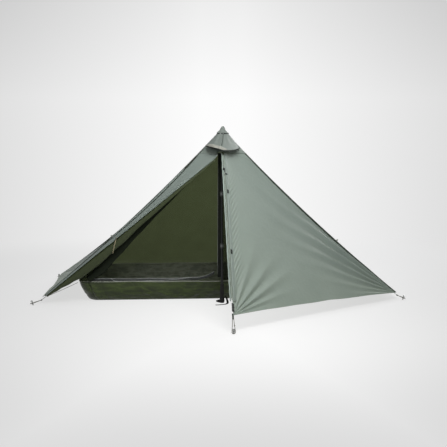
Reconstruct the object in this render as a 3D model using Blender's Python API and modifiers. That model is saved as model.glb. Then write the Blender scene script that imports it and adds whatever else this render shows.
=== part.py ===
"""A one-person pyramid tent on one pole, pitched with its door rolled back.

Five fabric panels hang between ridges that run from the corners to the peak.  Inside stands an
inner tent: a waterproof tub and a mesh pyramid above it.  An inverted trekking pole carries the
peak, and five pegs hold the corners.  The origin is the middle of the pole's foot on the ground,
+X is to the right of someone who faces the door, and the door faces -Y.  Lengths are in metres.
"""

import math

import bmesh
import bpy
from mathutils import Matrix, Vector

# Fly: corners of the hem, and where the ridges end under the cap
FRONT_CORNER = Vector((0.0, -0.980, 0.110))
SIDE_X, SIDE_Y, SIDE_Z = 1.310, 0.040, 0.050
BACK_X, BACK_Y, BACK_Z = 1.270, 1.100, 0.040
RIDGE_TOP_Z = 1.250
RIDGE_TOP_RADIUS = 0.020
SIDE_RIDGE_SAG = 0.028
BACK_RIDGE_SAG = 0.055
PANEL_BELLY = 0.018
HEM_RISE = 0.010
FLY_THICKNESS = 0.0010
PANEL_EDGE = 0.0025
PANEL_COLUMNS, PANEL_ROWS = 8, 12
# Folds of the front panel: which ridge, height, reach, count, angle that they fill, clear strip
FOLDS = ((0.0, 0.0060, 0.55, 3, 68.0, 0.036), (1.0, 0.0075, 0.60, 3, 52.0, 0.014))

# Peak, vent and hood
CAP_TOP_Z = 1.290
VENT_LOW, VENT_HIGH = 0.885, 0.975
PANEL_TOP = 0.880
HOOD_TOP_X, HOOD_TOP_Y, HOOD_TOP_Z = 0.036, 0.034, 1.236
HOOD_SIDE_X, HOOD_SIDE_Y, HOOD_SIDE_Z = 0.114, 0.022, 1.150
HOOD_FRONT_Y, HOOD_FRONT_Z = 0.196, 1.126
BRIM_RADIUS = 0.0030

# Door: where its fold line ends near the vent, and the width of the roll along the fold line
FOLD_TOP = Vector((-0.040, -0.136, 1.090))
ROLL_WIDTHS = ((0.03, 0.014), (0.08, 0.026), (0.145, 0.046), (0.20, 0.064), (0.30, 0.068),
               (0.386, 0.062), (0.576, 0.038), (0.824, 0.022), (0.97, 0.014))
ROLL_FLATNESS = 0.36
ROLL_HANG = 0.009
TIE_PLACE, TIE_SLANT = 0.40, 0.048

# Zip along the front ridge
ZIP_LOW, ZIP_HIGH = 0.075, 0.860
TEETH_RADIUS = 0.0020
TEETH_ACROSS = -0.0035
SLIDER_PLACE = 0.775
FLAP_LOW, FLAP_HIGH, FLAP_WIDTH = 0.066, 0.868, 0.028

# Inner tent
TUB_RIM_X, TUB_RIM_FRONT, TUB_RIM_BACK = 1.050, 0.100, 0.955
TUB_LEAN_END, TUB_LEAN_FRONT = 0.078, 0.062
TUB_HEIGHT = 0.150
TUB_CORNER = 0.070
TUB_THICKNESS = 0.0012
INNER_APEX = Vector((0.0, 0.070, 1.120))
INNER_RIDGE_SAG = 0.030
MESH_THICKNESS = 0.0008
INNER_ZIP_WIDTH = 0.024
INNER_SLIDER_X = -0.880

# Trekking pole, upside down: grip on the ground, tip in the peak
UPPER_RADIUS, MIDDLE_RADIUS, LOWER_RADIUS = 0.0090, 0.0079, 0.0068
TUBE_WALL = 0.0007
GRIP_HEIGHT = 0.140
GRIP_BORE = 0.0094
GRIP_FLOOR = 0.030
UPPER_END, MIDDLE_START, MIDDLE_END, LOWER_START = 0.420, 0.330, 0.800, 0.700
SHAFT_TIP_Z = 1.266
LOCK_RADIUS = 0.0135
LEVER_HEIGHT = 0.020

# Corner tabs, peg loops and pegs
TAB_WIDTH = 0.012
TAB_THICKNESS = 0.0028
EYE_RADIUS, EYE_BORE = 0.0052, 0.0029
LOOP_CORD = 0.0020
LOOP_WIDTH = 0.0270
PEG_LENGTH = 0.165
PEG_WING = 0.0095
PEG_LEAN = math.radians(15)
PEG_HEAD_Z = 0.034
LOOP_ON_PEG_Z = 0.014
PULLS = {
    "front": ((0.0, -1.0), 0.052),
    "left": ((-0.86, -0.51), 0.075),
    "right": ((0.86, -0.51), 0.050),
    "back_left": ((-0.22, 0.97), 0.055),
    "back_right": ((0.22, 0.97), 0.055),
}

DOWN = Vector((0.0, 0.0, -1.0))
UP = Vector((0.0, 0.0, 1.0))

PARTS = None
HELPERS = None


def clear_scene():
    for obj in list(bpy.data.objects):
        bpy.data.objects.remove(obj)


def collection(name):
    made = bpy.data.collections.new(name)
    bpy.context.scene.collection.children.link(made)
    return made


def material(name, colour, roughness, metallic=0.0):
    made = bpy.data.materials.new(name)
    made.use_nodes = True
    shader = made.node_tree.nodes["Principled BSDF"]
    shader.inputs["Base Color"].default_value = (*colour, 1.0)
    shader.inputs["Roughness"].default_value = roughness
    shader.inputs["Metallic"].default_value = metallic
    return made


def place(name, data, finish, helper=False):
    """An object of this data, in the tent's collection, or hidden among the helpers."""
    obj = bpy.data.objects.new(name, data)
    (HELPERS if helper else PARTS).objects.link(obj)
    if finish is not None:
        data.materials.append(finish)
    if helper:
        obj.hide_render = True
        obj.display_type = "WIRE"
    return obj


def mesh_object(name, bm, finish, helper=False):
    data = bpy.data.meshes.new(name)
    bmesh.ops.recalc_face_normals(bm, faces=bm.faces)
    bm.to_mesh(data)
    bm.free()
    data.shade_smooth()
    data.set_sharp_from_angle(angle=math.radians(40))
    return place(name, data, finish, helper)


def add_modifier(obj, kind, **settings):
    modifier = obj.modifiers.new(kind.title(), kind)
    for key, value in settings.items():
        setattr(modifier, key, value)
    return modifier


def join(obj, *others):
    """Joins the helpers to obj, as one body."""
    for other in others:
        add_modifier(obj, "BOOLEAN", operation="UNION", object=other, use_self=True)
    return obj


# Sheets, strips, cords and turned pieces


def sheet(name, surface, columns, rows, thickness, finish, closed=False, helper=False):
    """A grid bent over surface(u, v), both from 0 to 1, and thickened to both sides."""
    bm = bmesh.new()
    bmesh.ops.create_grid(bm, x_segments=columns, y_segments=rows, size=0.5)
    for vertex in bm.verts:
        vertex.co = surface(vertex.co.x + 0.5, vertex.co.y + 0.5)
    if closed:
        bmesh.ops.remove_doubles(bm, verts=bm.verts, dist=0.00002)
    obj = mesh_object(name, bm, finish, helper)
    add_modifier(obj, "SOLIDIFY", thickness=thickness, offset=0.0)
    return obj


def cord(name, points, radius, finish, closed=False, resolution=2, helper=False):
    """A round cord or wire along the points."""
    data = bpy.data.curves.new(name, "CURVE")
    data.dimensions = "3D"
    data.bevel_depth = radius
    data.bevel_resolution = resolution
    data.use_fill_caps = True
    spline = data.splines.new("POLY")
    spline.points.add(len(points) - 1)
    for spline_point, point in zip(spline.points, points):
        spline_point.co = (*point, 1.0)
    spline.use_cyclic_u = closed
    return place(name, data, finish, helper)


def plate(name, outlines, thickness, matrix, finish, helper=False):
    """A flat plate: its outlines in its own XY plane, the first one outside and any others holes."""
    data = bpy.data.curves.new(name, "CURVE")
    data.dimensions = "2D"
    data.fill_mode = "BOTH"
    data.extrude = thickness / 2
    for outline in outlines:
        spline = data.splines.new("POLY")
        spline.points.add(len(outline) - 1)
        for spline_point, point in zip(spline.points, outline):
            spline_point.co = (point[0], point[1], 0.0, 1.0)
        spline.use_cyclic_u = True
    obj = place(name, data, finish, helper)
    obj.matrix_world = matrix
    return obj


def as_mesh(curve, finish=None, helper=False):
    """The curve as a mesh with its caps welded, so that it can be cut or joined."""
    bpy.context.view_layer.update()
    graph = bpy.context.evaluated_depsgraph_get()
    data = bpy.data.meshes.new_from_object(curve.evaluated_get(graph))
    bm = bmesh.new()
    bm.from_mesh(data)
    bmesh.ops.remove_doubles(bm, verts=bm.verts, dist=0.00002)
    bmesh.ops.recalc_face_normals(bm, faces=bm.faces)
    bm.to_mesh(data)
    bm.free()
    name, matrix = curve.name, curve.matrix_world.copy()
    bpy.data.objects.remove(curve)
    data.materials.clear()
    obj = place(name, data, finish, helper)
    obj.matrix_world = matrix
    return obj


def turned(name, profile, finish, steps=24, location=(0.0, 0.0, 0.0), helper=False):
    """A turned piece: its profile is (radius, height) pairs that run down the outer side."""
    data = bpy.data.meshes.new(name)
    closed = profile[0][0] > 0 or profile[-1][0] > 0
    edges = [(i, i + 1) for i in range(len(profile) - 1)]
    if closed:
        edges.append((len(profile) - 1, 0))
    data.from_pydata([(radius, 0.0, height) for radius, height in profile], edges, [])
    obj = place(name, data, finish, helper)
    obj.location = location
    add_modifier(obj, "SCREW", axis="Z", steps=steps, render_steps=steps, use_merge_vertices=True,
                 merge_threshold=0.00005, use_smooth_shade=True)
    return obj


def block(name, size, matrix, finish, bevel=0.0, helper=False):
    """A box of this size at matrix, with rounded edges if bevel is given."""
    bm = bmesh.new()
    bmesh.ops.create_cube(bm, size=1.0)
    bmesh.ops.scale(bm, vec=Vector(size), verts=bm.verts)
    obj = mesh_object(name, bm, finish, helper)
    obj.matrix_world = matrix
    if bevel:
        add_modifier(obj, "BEVEL", width=bevel, segments=2, limit_method="ANGLE")
    return obj


def frame_matrix(origin, x_axis, y_axis):
    """A placement with its X axis along x_axis and its Y axis as near y_axis as it can be."""
    x = x_axis.normalized()
    z = x.cross(y_axis).normalized()
    y = z.cross(x)
    rotation = Matrix((x, y, z)).transposed().to_4x4()
    return Matrix.Translation(origin) @ rotation


def arc_points(centre, radius, start, end, count):
    """Points on an arc in a plane, from the start to the end angle in degrees."""
    angles = [math.radians(start + (end - start) * i / (count - 1)) for i in range(count)]
    return [(centre[0] + radius * math.cos(a), centre[1] + radius * math.sin(a)) for a in angles]


def mixed(table, place_at):
    """Reads a table of (place, value) pairs, straight between them."""
    if place_at <= table[0][0]:
        return table[0][1]
    for (low, low_value), (high, high_value) in zip(table, table[1:]):
        if place_at <= high:
            share = (place_at - low) / (high - low)
            return low_value + (high_value - low_value) * share
    return table[-1][1]


# Ridges and panels of the fly


def ridge(corner, top, sag):
    """A ridge from its corner at 0 to its top at 1, which hangs inward in a shallow curve."""
    along = (top - corner).normalized()
    inward = (DOWN - along * along.dot(DOWN)).normalized()

    def at(t):
        return corner.lerp(top, t) + inward * (sag * 4 * t * (1 - t))

    return at


def fly_ridge(corner, sag):
    level = Vector((corner.x, corner.y, 0.0)).normalized() * RIDGE_TOP_RADIUS
    return ridge(corner, level + UP * RIDGE_TOP_Z, sag)


def panel(left, right, belly=PANEL_BELLY, rise=HEM_RISE):
    """The surface between two ridges: u from left to right, t from the hem to the peak."""
    normal = (right(0) - left(0)).cross(left(1) - left(0)).normalized()

    def at(u, t):
        lifted = t + (1 - t) * rise * 4 * u * (1 - u)
        bowed = belly * 4 * u * (1 - u) * 4 * lifted * (1 - lifted)
        return left(lifted).lerp(right(lifted), u) - normal * bowed

    return at


def outward(surface, u, t):
    """The unit normal of a surface, away from the tent."""
    step = 0.002
    u0, t0 = min(max(u, step), 1 - step), min(max(t, step), 1 - step)
    across = surface(u0 + step, t0) - surface(u0 - step, t0)
    up = surface(u0, t0 + step) - surface(u0, t0 - step)
    normal = across.cross(up).normalized()
    return normal if normal.dot(surface(u0, t0) - Vector((0.0, 0.3, 0.3))) > 0 else -normal


def part_of(surface, u_low, u_high, t_low, t_high, inset=0.0):
    """The stretch of a surface between these limits, inset by this many metres at both ridges."""

    def at(u, t):
        height = t_low + (t_high - t_low) * t
        width = (surface(1.0, height) - surface(0.0, height)).length
        low, high = u_low + inset / width, u_high - inset / width
        return surface(low + (high - low) * u, height)

    return at


def folded(surface):
    """The surface with the folds that fan out from its two lower corners."""

    def at(u, t):
        point = surface(u, t)
        lift = 0.0
        for side, height, reach, count, spread, clear in FOLDS:
            corner = surface(side, 0.0)
            offset = point - corner
            if offset.length < 0.001:
                continue
            angle = (surface(side, 1.0) - corner).angle(offset)
            share = (offset.length * math.sin(angle) - clear) / 0.06
            share = min(max(share, 0.0), 1.0)
            wave = math.cos(2 * math.pi * count * angle / math.radians(spread))
            fade = share * share * (3 - 2 * share) * min(offset.length / 0.15, 1.0)
            lift += height * wave * fade * math.exp(-(offset.length / reach) ** 2)
        return point + outward(surface, u, t) * lift

    return at


def closer_at_edges(surface):
    """The same surface, with its grid lines closer together at the ridges and at the hem."""

    def at(u, t):
        return surface(0.5 - 0.5 * math.cos(math.pi * u), 1 - math.cos(math.pi * t / 2))

    return at


RIGHT_CORNER = Vector((SIDE_X, SIDE_Y, SIDE_Z))
LEFT_CORNER = Vector((-SIDE_X, SIDE_Y, SIDE_Z))
BACK_RIGHT_CORNER = Vector((BACK_X, BACK_Y, BACK_Z))
BACK_LEFT_CORNER = Vector((-BACK_X, BACK_Y, BACK_Z))
CORNERS = {
    "front": FRONT_CORNER,
    "left": LEFT_CORNER,
    "right": RIGHT_CORNER,
    "back_left": BACK_LEFT_CORNER,
    "back_right": BACK_RIGHT_CORNER,
}
RIDGES = {
    "front": fly_ridge(FRONT_CORNER, 0.0),
    "left": fly_ridge(LEFT_CORNER, SIDE_RIDGE_SAG),
    "right": fly_ridge(RIGHT_CORNER, SIDE_RIDGE_SAG),
    "back_left": fly_ridge(BACK_LEFT_CORNER, BACK_RIDGE_SAG),
    "back_right": fly_ridge(BACK_RIGHT_CORNER, BACK_RIDGE_SAG),
}
FRONT_RIGHT = panel(RIDGES["front"], RIDGES["right"])
RIGHT_END = panel(RIDGES["right"], RIDGES["back_right"])
BACK = panel(RIDGES["back_right"], RIDGES["back_left"])
LEFT_END = panel(RIDGES["back_left"], RIDGES["left"])
FRONT_LEFT = panel(RIDGES["left"], RIDGES["front"])


def fold_line(v):
    """The edge where the door turns under, from the left corner at 0 to the vent at 1."""
    return LEFT_CORNER.lerp(FOLD_TOP, v)


def door_surface(u, v):
    """What is left of the front left panel: u from the left ridge to the fold line."""
    along = 0.012 + (PANEL_TOP - 0.012) * v
    edge = RIDGES["left"](along)
    fold = fold_line(along / PANEL_TOP)
    gap = PANEL_EDGE / max((fold - edge).length, 3 * PANEL_EDGE)
    return edge.lerp(fold, gap + (1 - gap) * u)


def make_fly(cloth, webbing):
    front = closer_at_edges(part_of(folded(FRONT_RIGHT), 0, 1, 0, PANEL_TOP, PANEL_EDGE))
    sheet("fly_front_right", front, 24, 18, FLY_THICKNESS, cloth)
    for name, surface, high in (
        ("fly_right_end", RIGHT_END, 0.985),
        ("fly_back", BACK, 0.985),
        ("fly_left_end", LEFT_END, 0.985),
    ):
        sheet(name, part_of(surface, 0, 1, 0, high, PANEL_EDGE), PANEL_COLUMNS, PANEL_ROWS,
              FLY_THICKNESS, cloth)
    sheet("fly_door_panel", door_surface, 4, PANEL_ROWS, FLY_THICKNESS, cloth)
    make_ridge_webbing(webbing)


def make_ridge_webbing(webbing):
    """Tapes folded over the four sewn ridges, joined by a ring patch round the peak."""
    half_width, clearance = 0.008, 0.0017
    sides = {
        "left": (LEFT_END, 1, door_surface, 0),
        "right": (FRONT_RIGHT, 1, RIGHT_END, 0),
        "back_right": (RIGHT_END, 1, BACK, 0),
        "back_left": (BACK, 1, LEFT_END, 0),
    }

    def tape(name):
        first, first_edge, second, second_edge = sides[name]
        line = RIDGES[name]

        def beside(surface, edge, t):
            flat = surface is door_surface
            height = (t - 0.012) / (PANEL_TOP - 0.012) if flat else t
            height = min(max(height, 0.0), 1.0)
            width = max((surface(1.0, height) - surface(0.0, height)).length, 0.02)
            share = min(half_width / width, 0.28)
            u = share if edge == 0 else 1 - share
            return surface(u, height), outward(surface, u, height)

        def at(u, v):
            t = 0.004 + 0.990 * v
            ridge_point = line(t)
            first_point, first_normal = beside(first, first_edge, t)
            second_point, second_normal = beside(second, second_edge, t)
            bisector = (first_normal + second_normal).normalized()
            if u < 0.25:
                return first_point + first_normal * clearance
            if u > 0.75:
                return second_point + second_normal * clearance
            lift = clearance / max(bisector.dot(first_normal), 0.3)
            return ridge_point + bisector * (lift + 0.0004)

        return at

    strips = [sheet(f"tape_{name}", tape(name), 2, PANEL_ROWS, FLY_THICKNESS, None, helper=True)
              for name in sides]
    patch = turned("ridge_webbing", [(0.0140, 1.2565), (0.0290, 1.2465), (0.0290, 1.2375),
                                     (0.0140, 1.2460)], webbing, steps=20)
    join(patch, *strips)


def make_vent(mesh_cloth, cloth, black, plastic):
    """The mesh window under the peak, and the hood that keeps rain off it."""

    def window(u, v):
        t = VENT_LOW + (VENT_HIGH - VENT_LOW) * v
        surface = FRONT_LEFT if u < 0.5 else FRONT_RIGHT
        width = (surface(1, t) - surface(0, t)).length
        inset = PANEL_EDGE * 2 / width
        if u < 0.5:
            return surface(inset + (1 - inset) * 2 * u, t)
        return surface((1 - inset) * (2 * u - 1), t)

    sheet("vent_mesh", window, 8, 3, MESH_THICKNESS, mesh_cloth)

    def brim_edge(u, out=0.0, lower=0.0):
        share = math.sin(math.pi * u)
        x = -(HOOD_SIDE_X + out) * math.cos(math.pi * u)
        y = -HOOD_SIDE_Y - (HOOD_FRONT_Y - HOOD_SIDE_Y + out) * share
        return Vector((x, y, HOOD_SIDE_Z + (HOOD_FRONT_Z - HOOD_SIDE_Z) * share - lower))

    def hood(u, v):
        x = -HOOD_TOP_X * math.cos(math.pi * u)
        y = -0.010 - (HOOD_TOP_Y - 0.010) * math.sin(math.pi * u)
        return Vector((x, y, HOOD_TOP_Z)).lerp(brim_edge(u), v)

    sheet("vent_hood", hood, 18, 5, FLY_THICKNESS, cloth)
    band = [hood(i / 12, 0.0) + Vector((0.0, 0.0, 0.0022)) for i in range(13)]
    cord("hood_band", band, 0.0014, black)
    steps = 20
    rim = [brim_edge(i / steps, 0.0035, 0.0030) for i in range(steps + 1)]
    cord("hood_brim", rim, BRIM_RADIUS, black)

    base = RIDGES["front"](VENT_LOW) + Vector((0.0, -0.008, 0.004))
    tip = brim_edge(0.5) + Vector((0.0, 0.006, -0.004))
    along = tip - base
    length = along.length
    outline = [(0, -0.005), (length - 0.005, -0.005)]
    outline += arc_points((length - 0.005, 0.0), 0.005, -90, 90, 7)[1:-1]
    outline += [(length - 0.005, 0.005), (0, 0.005)]
    plate("hood_prop", [outline], 0.0016, frame_matrix(base, along, Vector((1, 0, 0))), plastic)


def make_peak(cap_cloth, metal):
    """The cap that covers the peak, and the grommet that the pole's tip stands in."""
    outside = [(0.0, CAP_TOP_Z), (0.006, CAP_TOP_Z - 0.001), (0.012, 1.2810), (0.0165, 1.2710),
               (0.0200, 1.2620), (0.0280, 1.2545), (0.0390, 1.2425)]
    inside = [(0.0380, 1.2410), (0.0270, 1.2530), (0.0185, 1.2610), (0.0120, 1.2750),
              (0.0, 1.2780)]
    turned("peak_cap", outside + inside, cap_cloth, steps=24)
    turned("peak_grommet", [(0.0125, 1.2560), (0.0135, 1.2545), (0.0125, 1.2530),
                            (0.0060, 1.2530), (0.0055, 1.2545), (0.0060, 1.2560)], metal, steps=20)


# Zip on the front ridge


def front_frame(t, across, out):
    """A point beside the front ridge: across the right panel, and out from it, in metres."""
    line = (RIDGES["front"](1) - RIDGES["front"](0)).normalized()
    normal = outward(FRONT_RIGHT, 0.02, 0.5)
    side = line.cross(normal).normalized()
    if side.x < 0:
        side = -side
    return RIDGES["front"](t) + side * across + normal * out, line, side, normal


def make_front_zip(cloth, black, metal, plastic):
    def flap(u, v):
        t = FLAP_LOW + (FLAP_HIGH - FLAP_LOW) * v
        width = (FRONT_RIGHT(1, t) - FRONT_RIGHT(0, t)).length
        share = (0.0030 + FLAP_WIDTH * u) / width
        return FRONT_RIGHT(share, t) + outward(FRONT_RIGHT, share, t) * 0.0026

    def track(u, v):
        t = ZIP_LOW + (ZIP_HIGH - ZIP_LOW) * v
        return front_frame(t, TEETH_ACROSS + (0.0012 - TEETH_ACROSS) * u, 0.0)[0]

    sheet("storm_flap", flap, 2, PANEL_ROWS, 0.0010, cloth)
    tape = sheet("fly_zip_track", track, 1, 4, 0.0010, black)
    count = 12
    places = [ZIP_LOW + (ZIP_HIGH - ZIP_LOW) * i / count for i in range(count + 1)]
    teeth = cord("zip_teeth", [front_frame(t, TEETH_ACROSS, 0.0)[0] for t in places],
                 TEETH_RADIUS, None, helper=True)
    join(tape, as_mesh(teeth, helper=True))

    centre, line, side, normal = front_frame(SLIDER_PLACE, TEETH_ACROSS, 0.0)
    matrix = frame_matrix(centre, side, normal)
    inner, outer = 0.0031, 0.0048
    channel = [(0.0055, outer), (-0.0065, outer), (-0.0075, outer - 0.001),
               (-0.0075, -outer + 0.001), (-0.0065, -outer), (0.0055, -outer),
               (0.0055, -inner), (-0.0040, -inner), (-0.0040, inner), (0.0055, inner)]
    plate("fly_zip_slider", [channel], 0.016, matrix, metal)
    tab_top = centre + normal * (outer + 0.0016) - line * 0.002
    tab = frame_matrix(tab_top, -line, side)
    outline = [(-0.0006, -0.0035), (0.024, -0.0035), (0.027, -0.0020), (0.027, 0.0020),
               (0.024, 0.0035), (-0.0006, 0.0035)]
    hole = list(reversed(arc_points((0.021, 0.0), 0.0017, 0, 315, 8)))
    plate("fly_zip_pull", [outline, hole], 0.0014, tab, metal)

    buckle_at, line, side, normal = front_frame(0.036, -0.002, 0.0062)
    block("front_buckle", (0.018, 0.068, 0.0070), frame_matrix(buckle_at, side, line), plastic,
          bevel=0.0018)


# The rolled door and its tie


def lobed_roll(name, line, widths, flatness, low, high, stations, sides, lobes, finish, hang):
    """Cloth rolled along a line: it hangs below the line, as wide as widths says."""
    bm = bmesh.new()
    rings = []
    along = (line(1) - line(0)).normalized()
    drop = (DOWN - along * along.dot(DOWN)).normalized()
    through = along.cross(drop)
    for i in range(stations + 1):
        s = low + (high - low) * i / stations
        width = mixed(widths, s)
        centre = line(s) + drop * (width / 2 + hang)
        twist = 2.4 * s
        ring = []
        for k in range(sides):
            angle = 2 * math.pi * k / sides
            swell = 1 + 0.10 * math.cos(lobes * angle + twist)
            long_way = math.cos(angle) * width / 2 * swell
            short_way = math.sin(angle) * width / 2 * flatness * swell
            ring.append(bm.verts.new(centre + drop * long_way + through * short_way))
        rings.append(ring)
    for first, second in zip(rings, rings[1:]):
        for k in range(sides):
            after = (k + 1) % sides
            bm.faces.new((first[k], first[after], second[after], second[k]))
    bm.faces.new(list(reversed(rings[0])))
    bm.faces.new(rings[-1])
    return mesh_object(name, bm, finish)


def make_door_roll(cloth, cord_finish):
    lobed_roll("fly_door_roll", fold_line, ROLL_WIDTHS, ROLL_FLATNESS, 0.03, 0.97, 22, 20, 4,
               cloth, ROLL_HANG)
    along = (fold_line(1) - fold_line(0)).normalized()
    drop = (DOWN - along * along.dot(DOWN)).normalized()
    through = along.cross(drop)
    width = mixed(ROLL_WIDTHS, TIE_PLACE)
    top, bottom = 0.0026, ROLL_HANG + width * 1.07 + 0.0030
    centre = fold_line(TIE_PLACE) + drop * ((top + bottom) / 2)
    half_long = (bottom - top) / 2
    half_short = width / 2 * ROLL_FLATNESS * 1.13 + 0.0060
    ring = [centre + (drop * half_long - along * TIE_SLANT) * math.cos(a)
            + through * math.sin(a) * half_short
            for a in (2 * math.pi * i / 20 for i in range(20))]
    cord("door_tie_loop", ring, 0.0014, cord_finish, closed=True, resolution=1)


# Inner tent


def tub_outline(u, lean):
    """A point of the tub's rounded outline, u from 0 to 1 round it; lean is how far it is drawn in."""
    half_x = TUB_RIM_X - TUB_LEAN_END * lean
    front, back = TUB_RIM_FRONT + TUB_LEAN_FRONT * lean, TUB_RIM_BACK - TUB_LEAN_FRONT * lean
    half_y, middle_y = (back - front) / 2, (back + front) / 2
    corner = TUB_CORNER
    arc_steps, runs = 4, (6, 3, 6, 3)
    signs = ((1, -1), (1, 1), (-1, 1), (-1, -1))
    starts = (-90, 0, 90, 180)
    points = []
    for (sx, sy), start, run in zip(signs, starts, runs):
        centre = (sx * (half_x - corner), middle_y + sy * (half_y - corner))
        points += arc_points(centre, corner, start, start + 90, arc_steps + 1)
        points += [None] * (run - 1)
    count = len(points)
    known = [i for i in range(count) if points[i] is not None]
    for i, j in zip(known, known[1:] + [known[0] + count]):
        for k in range(i + 1, j):
            share = (k - i) / (j - i)
            a, b = points[i], points[j % count]
            points[k % count] = (a[0] + (b[0] - a[0]) * share, a[1] + (b[1] - a[1]) * share)
    index = round(u * count) % count
    return points[index], count


def make_tub(groundsheet):
    count = tub_outline(0.0, 0.0)[1]

    def wall(u, v):
        (x, y), _ = tub_outline(u, 1 - v)
        return Vector((x, y, 0.0012 + (TUB_HEIGHT - 0.0012) * v ** 1.5))

    sheet("tub_wall", wall, count, 4, TUB_THICKNESS, groundsheet, closed=True)
    outline = []
    for i in range(count):
        (x, y), _ = tub_outline(i / count, 1.0)
        middle = Vector((0.0, (TUB_RIM_FRONT + TUB_RIM_BACK) / 2))
        inward = (middle - Vector((x, y))).normalized() * 0.0022
        outline.append((x + inward.x, y + inward.y))
    plate("tub_floor", [outline], TUB_THICKNESS, Matrix.Translation((0, 0, TUB_THICKNESS / 2)),
          groundsheet)


def inner_corner(x_sign, back):
    inset = 0.012
    y = TUB_RIM_BACK - inset if back else TUB_RIM_FRONT + inset
    return Vector((x_sign * (TUB_RIM_X - inset), y, TUB_HEIGHT + 0.004))


def inner_ridge(corner):
    aside = (corner - INNER_APEX)
    level = Vector((aside.x, aside.y, 0.0)).normalized() * 0.016
    return ridge(corner, INNER_APEX + level, INNER_RIDGE_SAG)


INNER_RIDGES = {
    "front_left": inner_ridge(inner_corner(-1, False)),
    "front_right": inner_ridge(inner_corner(1, False)),
    "back_left": inner_ridge(inner_corner(-1, True)),
    "back_right": inner_ridge(inner_corner(1, True)),
}


def zip_post(t):
    """The upright edge of the inner door's zip, from the tub's rim to the inner peak."""
    low = Vector((0.0015, TUB_RIM_FRONT, TUB_HEIGHT + 0.004))
    high = INNER_APEX + Vector((0.0015, -0.016, 0.0))
    return low.lerp(high, t)


def make_inner(mesh_cloth, black, metal, cord_finish, plastic):
    lines = INNER_RIDGES
    for name, left, right in (
        ("inner_mesh_front", zip_post, lines["front_right"]),
        ("inner_mesh_right", lines["front_right"], lines["back_right"]),
        ("inner_mesh_back", lines["back_right"], lines["back_left"]),
        ("inner_mesh_left", lines["back_left"], lines["front_left"]),
    ):
        surface = panel(left, right, belly=0.010, rise=0.0)
        inset = 0.0 if name == "inner_mesh_front" else 0.0012
        sheet(name, part_of(surface, 0, 1, 0, 0.985, inset), 5, 8, MESH_THICKNESS, mesh_cloth)

    widths = ((0.04, 0.045), (0.12, 0.085), (0.25, 0.073), (0.40, 0.052), (0.56, 0.034),
              (0.80, 0.020), (0.95, 0.013))
    ridge_line = lines["front_left"]

    def roll_line(s):
        return ridge_line(0).lerp(ridge_line(1), s) + Vector((0.0, -0.026, -0.003))

    lobed_roll("inner_door_roll", roll_line, widths, 0.30, 0.04, 0.95, 16, 16, 3, mesh_cloth,
               0.004)

    def upright(u, v):
        return zip_post(0.02 + 0.955 * v) + Vector((-0.0025 - INNER_ZIP_WIDTH * (1 - u), 0, 0))

    sheet("inner_zip_high", upright, 2, 4, 0.0012, black)

    def level(u, v):
        x = -0.960 + (0.960 - 0.050) * u
        return Vector((x, TUB_RIM_FRONT + 0.002, TUB_HEIGHT + 0.0035 + 0.020 * v))

    sheet("inner_zip_low", level, 6, 1, 0.0012, black)

    half = 0.0060
    clamp = [(-half, 0.0024), (half, 0.0024), (half, 0.0009), (half - 0.0012, 0.0009),
             (half - 0.0012, 0.0012), (-half, 0.0012)]
    middle = Vector((INNER_SLIDER_X, TUB_RIM_FRONT + 0.002, TUB_HEIGHT + 0.0135))
    facing = frame_matrix(middle, UP, Vector((0, -1, 0)))
    plate("inner_slider", [clamp], 0.014, facing, metal)
    outline = [(0.0003, -0.0025), (-0.019, -0.0025), (-0.021, -0.0010), (-0.021, 0.0010),
               (-0.019, 0.0025), (0.0003, 0.0025)]
    hanger = middle + Vector((0.0, -0.0034, 0.002))
    plate("inner_pull", [outline], 0.0012, frame_matrix(hanger, UP, Vector((1, 0, 0))), metal)

    hook = [INNER_APEX + UP * 0.006, Vector((0.0, 0.052, 1.160)), Vector((0.0, 0.032, 1.200)),
            Vector((0.0, 0.018, 1.232))]
    cord("inner_apex_hook", hook, 0.0022, plastic)

    for name, corner in (("front_left", "left"), ("front_right", "right"),
                         ("back_left", "back_left"), ("back_right", "back_right")):
        start = inner_corner(-1 if "left" in name else 1, "back" in name)
        start = start + Vector((math.copysign(0.017, start.x), 0.0, -0.010))
        line = RIDGES[corner]
        end = line(0.018) + Vector((0.0, 0.0, -0.018))
        cord(f"inner_elastic_{name}", [start, start.lerp(end, 0.5) + DOWN * 0.002, end], 0.0015,
             cord_finish, resolution=1)


# Pole


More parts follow.
